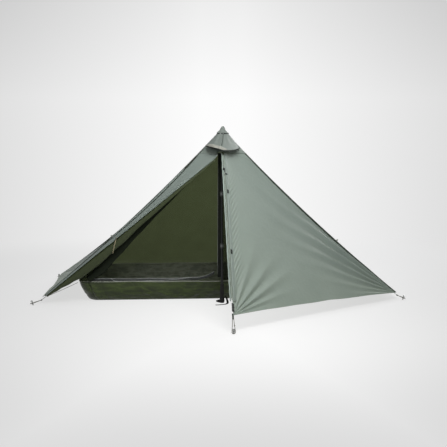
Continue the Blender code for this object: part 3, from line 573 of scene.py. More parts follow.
def plate(name, outlines, thickness, matrix, material, nodes=()):
    """A flat plate with holes and rounded edges, as a filled curve."""
    bevel = 0.0008
    curve = bpy.data.curves.new(name, "CURVE")
    curve.dimensions = "2D"
    curve.fill_mode = "BOTH"
    curve.extrude = thickness / 2 - bevel
    curve.bevel_depth = bevel
    curve.bevel_resolution = 2
    curve.offset = -bevel
    for outline in outlines:
        add_line(curve, [(x, y, 0.0) for x, y in outline], True)
    piece(name, curve, [material], nodes, matrix)


def turned(name, profile, material, steps=40, nodes=(), matrix=Matrix()):
    """A turned piece from (radius, height) pairs that run down its outer side."""
    bm = bmesh.new()
    verts = [bm.verts.new((radius, 0.0, height)) for radius, height in profile]
    edges = [bm.edges.new(pair) for pair in zip(verts, verts[1:])]
    bmesh.ops.spin(bm, geom=verts + edges, cent=(0, 0, 0), axis=(0, 0, 1), angle=2 * pi,
                   steps=steps, use_merge=True)
    bmesh.ops.remove_doubles(bm, verts=bm.verts, dist=MERGE_DISTANCE)
    bmesh.ops.recalc_face_normals(bm, faces=bm.faces)
    made = piece(name, mesh_of(name, bm), [material], nodes, matrix)
    made.data.shade_smooth()
    made.data.set_sharp_from_angle(angle=TURNED_SHARP_ANGLE)
    return made


def dress_node(name, material, bevel=0.0):
    """Gives a solid of the model its finish, and rounds its edges."""
    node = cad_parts[name]
    node.data.materials.clear()
    node.data.materials.append(material)
    node.data.shade_smooth()
    node.data.set_sharp_from_angle(angle=SHARP_ANGLE)
    if bevel:
        rounded = node.modifiers.new("Rounded edges", "BEVEL")
        rounded.width = bevel
        rounded.segments = 2
        rounded.limit_method = "ANGLE"
        rounded.angle_limit = SHARP_ANGLE


def frame_matrix(origin, x_axis, y_axis):
    x = x_axis.normalized()
    z = x.cross(y_axis).normalized()
    y = z.cross(x)
    return Matrix.Translation(origin) @ Matrix((x, y, z)).transposed().to_4x4()


def arc_points(centre, radius, start, end, count):
    angles = [radians(start + (end - start) * i / (count - 1)) for i in range(count)]
    return [(centre[0] + radius * cos(a), centre[1] + radius * sin(a)) for a in angles]


# The fly's surfaces, as the solids have them


def hanging_axes(low, high):
    """Along a line, the way that cloth hangs from it, and the way through that cloth."""
    along = (high - low).normalized()
    drop = (DOWN - along * along.dot(DOWN)).normalized()
    return along, drop, along.cross(drop)


def ridge(corner, top, sag):
    """The line of a ridge, t from the corner at 0 to its top at 1."""
    inward = hanging_axes(corner, top)[1]

    def at(t):
        return corner.lerp(top, t) + inward * (sag * 4 * t * (1 - t))

    return at


def fly_ridge(corner, sag):
    level = Vector((corner.x, corner.y, 0.0)).normalized() * RIDGE_TOP_RADIUS
    return ridge(corner, level + UP * RIDGE_TOP_Z, sag)


def panel(left, right, belly=PANEL_BELLY, rise=HEM_RISE):
    """The surface between two ridges: u from left to right, t from the hem to the peak."""
    normal = (right(0) - left(0)).cross(left(1) - left(0)).normalized()

    def at(u, t):
        lifted = t + (1 - t) * rise * 4 * u * (1 - u)
        bowed = belly * 4 * u * (1 - u) * 4 * lifted * (1 - lifted)
        return left(lifted).lerp(right(lifted), u) - normal * bowed

    return at


def width_at(surface, t):
    return (surface(1.0, t) - surface(0.0, t)).length


def outward(surface, u, t):
    """The way out of the tent, square to the surface at this place."""
    step = 0.002
    u0, t0 = min(max(u, step), 1 - step), min(max(t, step), 1 - step)
    across = surface(u0 + step, t0) - surface(u0 - step, t0)
    up = surface(u0, t0 + step) - surface(u0, t0 - step)
    normal = across.cross(up).normalized()
    return normal if normal.dot(surface(u0, t0) - TENT_MIDDLE) > 0 else -normal


def part_of(surface, t_low, t_high, inset):
    """The surface between two heights, drawn in by the inset at both edges."""
    def at(u, t):
        height = t_low + (t_high - t_low) * t
        share = inset / width_at(surface, height)
        return surface(share + (1 - 2 * share) * u, height)

    return at


RIDGES = {
    "front": fly_ridge(FRONT_CORNER, 0.0),
    "left": fly_ridge(LEFT_CORNER, SIDE_RIDGE_SAG),
    "right": fly_ridge(RIGHT_CORNER, SIDE_RIDGE_SAG),
    "back_left": fly_ridge(BACK_LEFT_CORNER, BACK_RIDGE_SAG),
    "back_right": fly_ridge(BACK_RIGHT_CORNER, BACK_RIDGE_SAG),
}
FRONT_RIGHT = panel(RIDGES["front"], RIDGES["right"])
RIGHT_END = panel(RIDGES["right"], RIDGES["back_right"])
BACK = panel(RIDGES["back_right"], RIDGES["back_left"])
LEFT_END = panel(RIDGES["back_left"], RIDGES["left"])
FRONT_LEFT = panel(RIDGES["left"], RIDGES["front"])
DOOR_OUT = outward(FRONT_LEFT, 0.1, 0.4)


def fold_line(v):
    """The edge where the door turns under, from the left corner at 0 to the vent at 1."""
    return LEFT_CORNER.lerp(FOLD_TOP, v)


def door_surface(u, v):
    """The strip of the door that stays flat: u from the left ridge to the fold line."""
    along = DOOR_LOW + (PANEL_TOP - DOOR_LOW) * v
    edge = RIDGES["left"](along)
    fold = fold_line(along / PANEL_TOP)
    gap = PANEL_EDGE / max((fold - edge).length, 3 * PANEL_EDGE)
    return edge.lerp(fold, gap + (1 - gap) * u)


def fan(offset, ridge_way, creases):
    """How far creases that fan out from a corner lift the cloth at this offset from the corner."""
    distance = offset.length
    if distance < 0.002:
        return 0.0
    angle = degrees(ridge_way.angle(offset))
    wander = noise.noise(offset * 2.3) * 1.8
    lift = 0.0
    for at, width, slope, reach in creases:
        near = (angle + wander - at) / width
        if abs(near) < 3:
            half = radians(width) * min(distance, 0.55)
            lift += slope * half * exp(-near * near - (distance / reach) ** 2)
    return lift


def creases_from(seed, spread, count, slope, reach):
    """Creases at uneven angles, by turns up and down."""
    pick = random.Random(seed)
    step = spread / (count + 1)
    made = []
    for i in range(count):
        at = step * (i + 1) + pick.uniform(-0.28, 0.28) * step
        size = slope * pick.uniform(0.65, 1.25) * (1 if i % 2 else -1)
        made.append((at, step * pick.uniform(0.34, 0.52), size, reach * pick.uniform(0.7, 1.25)))
    return made


def taut_panel(surface, left_creases, right_creases, strip=0.0):
    """A panel with its creases: fans from both lower corners, a rolling hem and slack cloth."""
    belly = 0.003
    left_corner, right_corner = surface(0, 0), surface(1, 0)
    left_way = surface(0, 1) - left_corner
    right_way = surface(1, 1) - right_corner
    ridge_way = left_way.normalized()
    other_way = right_way.normalized()
    span = (right_corner - left_corner).length

    def at(u, t):
        point = surface(u, t)
        off = point - left_corner
        along = off.dot(ridge_way)
        from_ridge = (off - ridge_way * along).length
        other = point - right_corner
        other_along = other.dot(other_way)
        from_other = (other - other_way * other_along).length
        lift = fan(off, left_way, left_creases) + fan(other, right_way, right_creases)
        lift += belly * noise.noise(point * 2.1 + Vector((3.1, 0.0, 0.0)))
        lift += belly * 0.5 * noise.noise(point * 6.0)
        hem = exp(-(t * 9.0)) * sin(pi * u)
        lift += 0.006 * hem * sin(u * span * 9.0 + 2.0 * noise.noise(point * 3.0))
        if strip:
            window = ramp(along, 0.20, 0.12) * ramp(along, 1.20, -0.2)
            near = 1 / (1 + exp(-(from_ridge - 0.036) / 0.004))
            near *= bell(max(from_ridge - 0.055, 0.0), 0.040)
            beat = sin(2 * pi * (along - 2.1 * from_ridge) / 0.052 + 1.6 * noise.noise(point * 7.0))
            lift += strip * window * near * beat * (1.0 + 0.5 * noise.noise(point * 13.0))
        pucker = bell(from_other, 0.030) * min(from_other / 0.010, 1.0)
        lift += 0.0011 * pucker * sin(other_along * 150 + 3 * noise.noise(point * 12))
        fade = min(from_ridge / 0.035, 1.0) * min(from_other / 0.030, 1.0)
        return point + outward(surface, u, t) * (lift * fade)

    return at


def closer_at_edges(surface):
    """The same surface with its grid lines closer together at both sides and at the hem."""
    def at(u, t):
        return surface(0.5 - 0.5 * cos(pi * u), 1 - cos(pi * t / 2))

    return at


# Settings that a user would change


def length_setting(name, description, default, least, most):
    return FloatProperty(name=name, description=description, default=default, min=least,
                         max=most, unit="LENGTH", subtype="DISTANCE")


def colour_setting(name, description, default):
    return FloatVectorProperty(name=name, description=description, default=default, min=0.0,
                               max=1.0, subtype="COLOR")


class TentSizes(bpy.types.PropertyGroup):
    cloth_thickness: length_setting(
        "Cloth thickness", "Thickness of the fly's cloth", CLOTH_THICKNESS, 0.0002, 0.0012)
    rib_spacing: length_setting(
        "Rib spacing", "Distance between the ribs of the ripstop", 0.0055, 0.002, 0.02)
    net_spacing: length_setting(
        "Net spacing", "Distance between the threads of the insect net", 0.0040, 0.001, 0.02)
    net_openness: FloatProperty(
        name="Net openness", description="Share of the net that is air", default=0.62,
        min=0.1, max=0.75, subtype="FACTOR")
    strip_pucker: length_setting(
        "Pucker beside the zip", "Height of the creases beside the zip flap", 0.0034, 0.0, 0.010)
    roll_turns: IntProperty(
        name="Turns of the door roll", description="How often the door is rolled round itself",
        default=10, min=3, max=12)
    guy_cord: length_setting(
        "Cord thickness", "Diameter of the loops on the pegs", 0.0040, 0.002, 0.006)


class TentColours(bpy.types.PropertyGroup):
    fly: colour_setting("Fly, outside", "Outside of the fly", (0.288, 0.345, 0.316))
    fly_inside: colour_setting("Fly, inside", "Inside of the fly", (0.095, 0.125, 0.045))
    fly_glow: colour_setting("Light through the fly", "Colour of daylight through the fly",
                             (0.58, 0.63, 0.44))
    cap: colour_setting("Cap", "Cap and hood over the peak", (0.196, 0.224, 0.208))
    tub: colour_setting("Groundsheet", "Tub and floor", (0.031, 0.046, 0.010))
    net: colour_setting("Net", "Insect net", (0.011, 0.014, 0.009))
    tape: colour_setting("Ridge tape", "Tape on the ridges and the webbing",
                         (0.040, 0.050, 0.038))
    seam_tape: colour_setting("Seam tape", "Tape on the hood's seam", (0.085, 0.105, 0.090))
    binding: colour_setting("Binding", "Black bindings and zip tape", (0.014, 0.016, 0.014))
    pale_binding: colour_setting("Pale binding", "Binding on the tub's rim",
                                 (0.430, 0.450, 0.390))
    zip_tape: colour_setting("Inner zip tape", "Tape of the inner tent's zip",
                             (0.070, 0.076, 0.075))
    cord: colour_setting("Cord", "Loops and elastics", (0.17, 0.165, 0.135))
    tie: colour_setting("Door tie", "Loop round the rolled door", (0.42, 0.38, 0.25))
    metal: colour_setting("Alloy", "Pegs, sliders and grommet", (0.46, 0.47, 0.46))
    tube: colour_setting("Pole", "Anodised tubes of the pole", (0.026, 0.027, 0.029))
    plastic: colour_setting("Plastic", "Buckle, locks and hood prop", (0.028, 0.030, 0.028))
    foam: colour_setting("Grip foam", "Grip of the pole", (0.018, 0.018, 0.019))


def settings(context):
    return context.scene.tent_colours, context.scene.tent_sizes


# Finishes that several pieces share


def ripstop(context, name, colour, glow_share, roughness, **more):
    """Coated ripstop of this colour, with the fly's ribs and the fly's glow."""
    colours, sizes = settings(context)
    return coated_cloth(name, colour, sizes.rib_spacing, colours.fly_glow, glow_share, roughness,
                        **more)


def fly_cloth(context):
    colours, _ = settings(context)
    return (ripstop(context, "Fly outside", colours.fly, 0.25, 0.42),
            ripstop(context, "Fly inside", colours.fly_inside, 0.60, 0.52))


def cap_cloth(context):
    return ripstop(context, "Cap cloth", settings(context)[0].cap, 0.10, 0.60, hem=False,
                   gloss=0.22)


def tape_finish(context, key):
    return woven_tape(key.replace("_", " ").capitalize(), getattr(settings(context)[0], key))


def net_finish(context, name="Insect net", openness=1.0):
    colours, sizes = settings(context)
    return insect_net(name, colours.net, sizes.net_spacing, sizes.net_openness * openness)


def cord_braid(context):
    return braided_cord("Cord cord", settings(context)[0].cord)


def black_plastic(context):
    return moulded_plastic("Black plastic", settings(context)[0].plastic)


def plain_metal(context):
    return worn_metal("Plain alloy", settings(context)[0].metal, 0.36, 0.9)


def dark_metal():
    return worn_metal("Blackened alloy", (0.055, 0.056, 0.055), 0.42, 0.85)


# Operators: one for each piece or group of like pieces


class TENT_OT_fly(bpy.types.Operator):
    """Hang the four closed panels of the fly, with their creases"""

    bl_idname = "tent.fly"
    bl_label = "Fly panels"

    def execute(self, context):
        sizes = settings(context)[1]
        finishes = fly_cloth(context)
        front = taut_panel(FRONT_RIGHT, FRONT_FAN, RIGHT_FAN, sizes.strip_pucker)
        front = closer_at_edges(part_of(front, 0, PANEL_TOP, PANEL_EDGE))
        plane = plane_of(FRONT_CORNER, RIGHT_CORNER, UP * RIDGE_TOP_Z)
        made = cloth("fly_front_right_cloth", front, 160, 240, finishes,
                     sizes.cloth_thickness, plane, (1.66, 1.50), nodes=["fly_front_right"])

        end_size, back_size = (1.06, 1.72), (2.54, 1.62)
        for name, surface, columns, left, right, size, area, seeds in (
            ("fly_right_end", RIGHT_END, 80, RIGHT_CORNER, BACK_RIGHT_CORNER, end_size, 0.912,
             (4, 5)),
            ("fly_back", BACK, 150, BACK_RIGHT_CORNER, BACK_LEFT_CORNER, back_size, 1.99, (6, 7)),
            ("fly_left_end", LEFT_END, 80, BACK_LEFT_CORNER, LEFT_CORNER, end_size, 0.912,
             (8, 9)),
        ):
            fans = [creases_from(seed, 55, 9, 0.85, 0.48) for seed in seeds]
            shape = part_of(taut_panel(surface, *fans), 0, BACK_TOP, PANEL_EDGE)
            made = cloth(name + "_cloth", closer_at_edges(shape), columns, 110,
                         finishes, sizes.cloth_thickness, plane_of(left, right, UP * RIDGE_TOP_Z),
                         size, nodes=[name])
        return {"FINISHED"}


class TENT_OT_door(bpy.types.Operator):
    """Roll the left half of the front back along its fold line, and tie it"""

    bl_idname = "tent.door"
    bl_label = "Rolled door"

    def execute(self, context):
        colours, sizes = settings(context)
        turns = sizes.roll_turns
        along, drop, through = hanging_axes(fold_line(0), fold_line(1))
        strip_columns, lip_columns, steps = 34, 5, 13
        columns = strip_columns + lip_columns + turns * steps
        strip_low = 0.36

        def crease_place(v):
            """How far from the ridge the strip is creased along its length."""
            return 0.010 + 0.026 * sin(pi * ramp(v, strip_low, 0.60))

        def rolled(turn, s):
            """A point of the roll: turn counts from its top, where the cloth comes in."""
            width = mixed(ROLL_WIDTHS, s)
            shrink = 1 - 0.80 * turn / turns
            angle = pi - 2 * pi * turn
            wobble = 0.05 * drift(s * 9.0, cos(angle), sin(angle))
            swell = 0.965 * (1 + 0.085 * cos(4 * angle + 2.4 * s)
                             + 0.035 * cos(7 * angle - 9.0 * s) + wobble)
            pinch = 1 - 0.16 * bell(s - TIE_PLACE, 0.030)
            centre = fold_line(s) + drop * (width / 2 + ROLL_HANG)
            return (centre + drop * (cos(angle) * width / 2 * swell * shrink * pinch)
                    + through * (sin(angle) * width / 2 * ROLL_FLATNESS * swell * shrink))

        def flare(v):
            """How far the strip's lower edge curls down and out."""
            return (drop * 0.0065 - through * 0.0070) * (1 - ramp(v, 0.66, 0.22))

        def pleat(below, v):
            """The fold that runs along the strip, a finger's width above its lower edge."""
            reach = ramp(v, strip_low, 0.08) * ramp(v, 0.90, -0.10)
            return -0.0070 * bell(below, 0.0042 if below > 0 else 0.0085) * reach

        def strip(share, v):
            """The flat strip beside the ridge, strained along its crease."""
            point = door_surface(share, v) + flare(v) * max(0.0, (share - 0.72) / 0.28) ** 2
            wide = width_at(door_surface, v)
            point += DOOR_OUT * pleat((1 - share) * wide - 0.0125, v)
            away = share * wide - crease_place(v)
            strain = 0.0070 * bell(away + 0.017, 0.010) - 0.0020 * bell(away, 0.0075)
            strain += 0.0045 * bell(away - 0.020, 0.012) + 0.0022 * noise.noise(point * 7.0)
            ends = ramp(v, strip_low, 0.10) * ramp(v, 0.99, -0.10)
            sides = min(share / 0.06, 1.0) * min((1 - share) / 0.10, 1.0)
            return point + DOOR_OUT * (strain * ends * sides)

        def at(u, v):
            column = round(u * columns)
            if column <= strip_columns:
                return strip(column / strip_columns, v)
            s = (DOOR_LOW + (PANEL_TOP - DOOR_LOW) * v) / PANEL_TOP
            s = min(max(s, 0.02), 0.975)
            share = (column - strip_columns) / lip_columns
            if share < 1:
                way = (door_surface(1.0, v) + flare(v)).lerp(rolled(0.0, s) + drop * 0.002, share)
                return way - through * (0.0040 * sin(pi * share ** 0.8))
            return rolled((column - strip_columns - lip_columns) / steps, s)

        # Painted shade: the door's inside is the fly's inside darkened, for the roll lying in the
        # shadow of its lip
        inner = ripstop(context, "Door inside", paler(colours.fly_inside, 0.44), 0.05, 0.52)
        made = cloth("fly_door_cloth", at, columns, 120,
                     [fly_cloth(context)[0], inner], 0.00025, size=(1.31, 1.65),
                     inside=Vector((-0.6, 0.6, 0.4)), nodes=["fly_door_panel", "fly_door_roll"])

        # Painted shade: a dark tape along the strip's crease, standing in for the shade in that
        # crease rather than a sewn seam
        def seam_tape(u, v):
            t = 0.37 + 0.60 * v
            share = (crease_place(t) + (u - 0.5) * 0.0105) / width_at(door_surface, t)
            flutter = 0.0008 * drift(t * 30.0, u, 1.0)
            return door_surface(share, t) + DOOR_OUT * (0.0012 + flutter)

        seam = cloth("door_seam_tape", seam_tape, 4, 120, [tape_finish(context, "tape")],
                     size=(0.0105, 1.05))

        width = mixed(ROLL_WIDTHS, TIE_PLACE)
        top, bottom = 0.0028, ROLL_HANG + width * 1.05 + 0.0012
        centre = fold_line(TIE_PLACE) + drop * ((top + bottom) / 2)
        half_long, half_short = (bottom - top) / 2, width / 2 * ROLL_FLATNESS * 1.10 + 0.0045
        slant = drop * half_long - along * TIE_SLANT

        def ribbon(u, v):
            a = 2 * pi * v
            middle = centre + slant * cos(a) + through * (sin(a) * half_short)
            return middle + along * ((u - 0.5) * 0.0100)

        tie = cloth("door_tie_ribbon", ribbon, 2, 64, [tape_finish(context, "tie")],
                    WEBBING_THICKNESS, size=(0.010, 0.22), inside=centre, closed=True,
                    nodes=["door_tie_loop"])
        knob = centre + slant * cos(2.6) - through * (half_short + 0.0030)
        half_profile = [(0.0, 0.011), (0.0016, 0.0105), (0.0024, 0.007), (0.0018, 0.0)]
        profile = half_profile + [(radius, -height) for radius, height in half_profile[-2::-1]]
        turned("door_toggle", profile, black_plastic(context), 20,
               matrix=frame_matrix(knob, along, through) @ Matrix.Rotation(radians(90), 4, "Y"))
        return {"FINISHED"}


class TENT_OT_ridges(bpy.types.Operator):
    """Sew tapes over the four closed ridges, with a pull-out loop half way up two of them"""

    bl_idname = "tent.ridges"
    bl_label = "Ridge tapes"

    def execute(self, context):
        half_width, clearance = 0.012, 0.0019

        def beside(surface, at_end, t):
            """A point of the surface half a tape's width from the ridge, and its way out."""
            height = (t - DOOR_LOW) / (PANEL_TOP - DOOR_LOW) if surface is door_surface else t
            height = min(max(height, 0.0), 1.0)
            # Painted shade: along the middle of the right ridge the tape widens on the front
            # panel's side, a dark band that stands in for the shaded end panel showing past the
            # sagging ridge
            shade_band_widening = 0.008 * sin(pi * ramp(t, 0.33, 0.50)) if surface is FRONT_RIGHT else 0.0
            share = min((half_width + shade_band_widening) / max(width_at(surface, height), 0.02), 0.28)
            u = 1 - share if at_end else share
            return surface(u, height), outward(surface, u, height)

        def strip(line, first, second):
            """The tape over a ridge, from the end of one surface to the start of the next."""
            def at(u, v):
                t = 0.004 + 0.988 * v
                first_point, first_normal = beside(first, True, t)
                second_point, second_normal = beside(second, False, t)
                bisector = (first_normal + second_normal).normalized()
                lift = clearance / max(bisector.dot(first_normal), 0.3) + 0.0005
                ridge_point = line(t) + bisector * lift
                ripple = bisector * (0.0006 * noise.noise(ridge_point * 30.0))
                if u <= 0.5:
                    start = first_point + first_normal * clearance
                    return start.lerp(ridge_point, u * 2) + ripple
                end = second_point + second_normal * clearance
                return ridge_point.lerp(end, u * 2 - 1) + ripple

            return at

        for name, first, second in (
            ("left", LEFT_END, door_surface), ("right", FRONT_RIGHT, RIGHT_END),
            ("back_right", RIGHT_END, BACK), ("back_left", BACK, LEFT_END),
        ):
            line = RIDGES[name]
            length = (line(1) - line(0)).length
            made = cloth("ridge_tape_" + name, strip(line, first, second), 6, 120,
                         [tape_finish(context, "tape")], size=(0.025, length))
        profile = [(0.0140, 1.2565), (0.0215, 1.2520), (0.0290, 1.2465), (0.0290, 1.2375),
                   (0.0140, 1.2460), (0.0140, 1.2565)]
        turned("peak_patch", profile, tape_finish(context, "tape"),
               nodes=["ridge_webbing"])

        for name, place in (("left", 0.385), ("right", 0.345)):
            base = RIDGES[name](place)
            way = (RIDGES[name](place + 0.01) - base).normalized()
            out = (Vector((base.x, base.y - 0.2, 0.0)).normalized() + UP * 0.9).normalized()
            out = (out - way * out.dot(way)).normalized()
            side = way.cross(out)

            def loop(u, v, base=base, way=way, out=out, side=side):
                a = pi * (v * 1.16 - 0.08)
                reach = 0.0125 * sin(a) ** 0.8 if 0 < a < pi else 0.0
                spread = 0.0042 * cos(a)
                return base + out * (0.0028 + reach) + side * spread + way * ((u - 0.5) * 0.010)

            made = cloth("pull_out_" + name, loop, 3, 20,
                         [tape_finish(context, "pale_binding")], WEBBING_THICKNESS,
                         size=(0.010, 0.034), inside=base)
            "ridge_tape_" + name
        return {"FINISHED"}


class TENT_OT_peak(bpy.types.Operator):
    """Put the cap, the hood, its brim and the net window on the peak"""

    bl_idname = "tent.peak"
    bl_label = "Peak and vent"

    def execute(self, context):
        self.vent(context)
        self.hood(context)
        self.cap(context)
        dress_node("peak_grommet", plain_metal(context), 0.0003)
        dress_node("hood_prop", black_plastic(context), 0.0003)
        return {"FINISHED"}

    def vent(self, context):
        """The net window under the hood, and the cloth that faces and hems it."""
        outer = fly_cloth(context)[:1]

        def window(u, v):
            t = VENT_LOW + (VENT_HIGH - VENT_LOW) * v
            surface = FRONT_LEFT if u < 0.5 else FRONT_RIGHT
            inset = PANEL_EDGE * 2 / width_at(surface, t)
            if u < 0.5:
                return surface(inset + (1 - inset) * 2 * u, t)
            return surface((1 - inset) * (2 * u - 1), t)

        mesh = cloth("vent_net", window, 24, 8, [net_finish(context)], 0.0,
                     size=(0.30, 0.12), nodes=["vent_mesh"])

        def facing(surface, low):
            def at(u, v):
                t = VENT_LOW + low + (0.088 - low) * v
                inner = min((0.050 - 0.036 * v) / width_at(surface, t), 0.7)
                across = 0.012 + (0.988 - inner - 0.012) * u
                share = across if surface is FRONT_LEFT else 1 - across
                return surface(share, t) + outward(surface, share, t) * 0.0034

            return at

        for name, surface, low in (("left", FRONT_LEFT, -0.026), ("right", FRONT_RIGHT, -0.010)):
            made = cloth("vent_facing_" + name, facing(surface, low), 10, 12, outer,
                         size=(0.12, 0.19))

        def hem_at(u, v):
            t = VENT_LOW - 0.006 + 0.013 * v
            surface, share = (FRONT_LEFT, 0.5 + u) if u < 0.5 else (FRONT_RIGHT, u - 0.5)
            return surface(share, t) + outward(surface, share, t) * 0.0020

        made = cloth("vent_hem", hem_at, 24, 3, outer, size=(0.20, 0.018))

    def hood(self, context):
        """The hood over the vent, with its lining, seam tape, facing and bindings."""
        black = tape_finish(context, "binding")

        def brim_edge(u, out=0.0, lower=0.0):
            share = sin(pi * u)
            x = -(HOOD_SIDE[0] + out) * cos(pi * u)
            y = -HOOD_SIDE[1] - (HOOD_FRONT_Y - HOOD_SIDE[1] + out) * share
            lift = 0.012 * sin(2 * pi * u) if u < 0.5 else -0.010 * (u - 0.5) * 2
            x += 0.006 * max(0.0, u - 0.5) * 2
            z = HOOD_SIDE[2] + (HOOD_FRONT_Z - HOOD_SIDE[2]) * share - lower + lift
            return Vector((x, y, z))

        def seam_at(v):
            return 0.50 - 0.075 * v

        def hood(u, v):
            x = -HOOD_TOP[0] * cos(pi * u) + 0.010 * u
            y = -0.010 - (HOOD_TOP[1] - 0.010) * sin(pi * u)
            flat = Vector((x, y, HOOD_TOP[2])).lerp(brim_edge(u), v)
            out = Vector((flat.x, flat.y, 0.06)).normalized()
            aside = u - seam_at(v)
            seam = 0.0036 * bell(aside + 0.022, 0.016) - 0.0030 * bell(aside - 0.004, 0.010)
            pulls = 0.0011 * sin(u * 30.0 + 1.5 * v) * sin(pi * v)
            folds = 0.0035 * drift(u * 9.0, v * 2.0, 0.5) * sin(pi * v)
            sag = -0.0045 * sin(pi * v) * abs(sin(2 * pi * u))
            return flat + out * (seam + pulls + folds + sag)

        def over_hood(u, v, clear):
            """A point a little clear of the hood."""
            point = hood(u, v)
            return point + Vector((point.x, point.y, 0.05)).normalized() * clear

        lining = ripstop(context, "Hood lining", paler(settings(context)[0].cap, 0.55), 0.10, 0.5,
                         hem=False)
        made = cloth("vent_hood_cloth", hood, 96, 30, [cap_cloth(context), lining],
                     size=(0.40, 0.17), inside=Vector((0.0, 0.0, 1.12)), nodes=["vent_hood"])

        def seam_strip(u, v):
            place = 0.01 + 0.74 * v
            return over_hood(seam_at(place) + 0.004 + (u - 0.5) * 0.024, place, 0.0042)

        cloth("hood_seam_tape", seam_strip, 3, 24, [tape_finish(context, "seam_tape")],
              0.0006, size=(0.0100, 0.11))

        def facing_strip(u, v):
            high = 0.20 * sin(pi * min(u * 1.05, 1.0)) ** 0.35
            return over_hood(0.02 + 0.56 * u, 0.985 - high * v, 0.0022)

        pale = ripstop(context, "Hood facing", (0.33, 0.335, 0.295), 0.05, 0.6, hem=False,
                       gloss=0.22)
        made = cloth("hood_facing", facing_strip, 40, 4, [pale], 0.0006,
                     size=(0.20, 0.022))

        for name, start, end, nodes in (("left", 0, 12, ["hood_band"]), ("right", 22, 40, [])):
            band = [hood(i / 40, 0.0) + UP * 0.0026 for i in range(start, end + 1)]
            round_cord("hood_band_" + name, band, 0.0026, black, nodes=nodes)
        rim = [brim_edge(i / 60, 0.0035, 0.0030) for i in range(61)]
        round_cord("hood_brim_binding", rim, 0.0030, black, nodes=["hood_brim"])

    def cap(self, context):
        """The cap on the peak, turned and then pleated round its skirt."""
        profile = [(0.0, 1.290), (0.0030, 1.2898), (0.0060, 1.2888), (0.0095, 1.2855),
                   (0.0120, 1.2810), (0.0145, 1.2760), (0.0165, 1.2710), (0.0182, 1.2662),
                   (0.0200, 1.2620), (0.0240, 1.2580), (0.0280, 1.2545), (0.0335, 1.2485),
                   (0.0390, 1.2425), (0.0380, 1.2410), (0.0270, 1.2530), (0.0185, 1.2610),
                   (0.0120, 1.2750), (0.0, 1.2780)]
        cap = turned("peak_cap_cloth", profile, cap_cloth(context), 64,
                     nodes=["peak_cap"])
        uv = cap.data.uv_layers.new(name="Cloth")
        for loop in cap.data.loops:
            point = cap.data.vertices[loop.vertex_index].co
            uv.data[loop.index].uv = (atan2(point.y, point.x) * 0.03, point.z)
        for vertex in cap.data.vertices:
            point = vertex.co
            angle = atan2(point.y, point.x)
            skirt = ramp(point.z, 1.262, -0.02)
            pleat = 1 + skirt * 0.018 * cos(9 * angle) - 0.012 * (1 - skirt) * cos(5 * angle)
            seam = 1 + 0.020 * bell(angle + pi / 2, 0.12)
            point.x *= min(pleat * seam, 1.02) * (1.14 if point.x > 0 else 1.0)
            point.x += 0.006 * ramp(point.z, 1.245, 0.04)
            point.y *= min(pleat * seam, 1.02)


def front_frame(t, across, out):
    """A point across the right panel and out from it, beside the front ridge, and its axes."""
    line = (RIDGES["front"](1) - RIDGES["front"](0)).normalized()
    normal = outward(FRONT_RIGHT, 0.02, 0.5)
    side = line.cross(normal).normalized()
    if side.x < 0:
        side = -side
    return RIDGES["front"](t) + side * across + normal * out, line, side, normal


def zip_teeth(name, points, radius, material):
    """A coil of zip teeth along a line: a tube that is thick and thin by turns."""
    line = [points[0]]
    for a, b in zip(points, points[1:]):
        count = max(1, round((b - a).length / (TEETH_PITCH / 2)))
        line += [a.lerp(b, (i + 1) / count) for i in range(count)]
    round_cord(name, line, radius, material, resolution=1, thin=0.62)


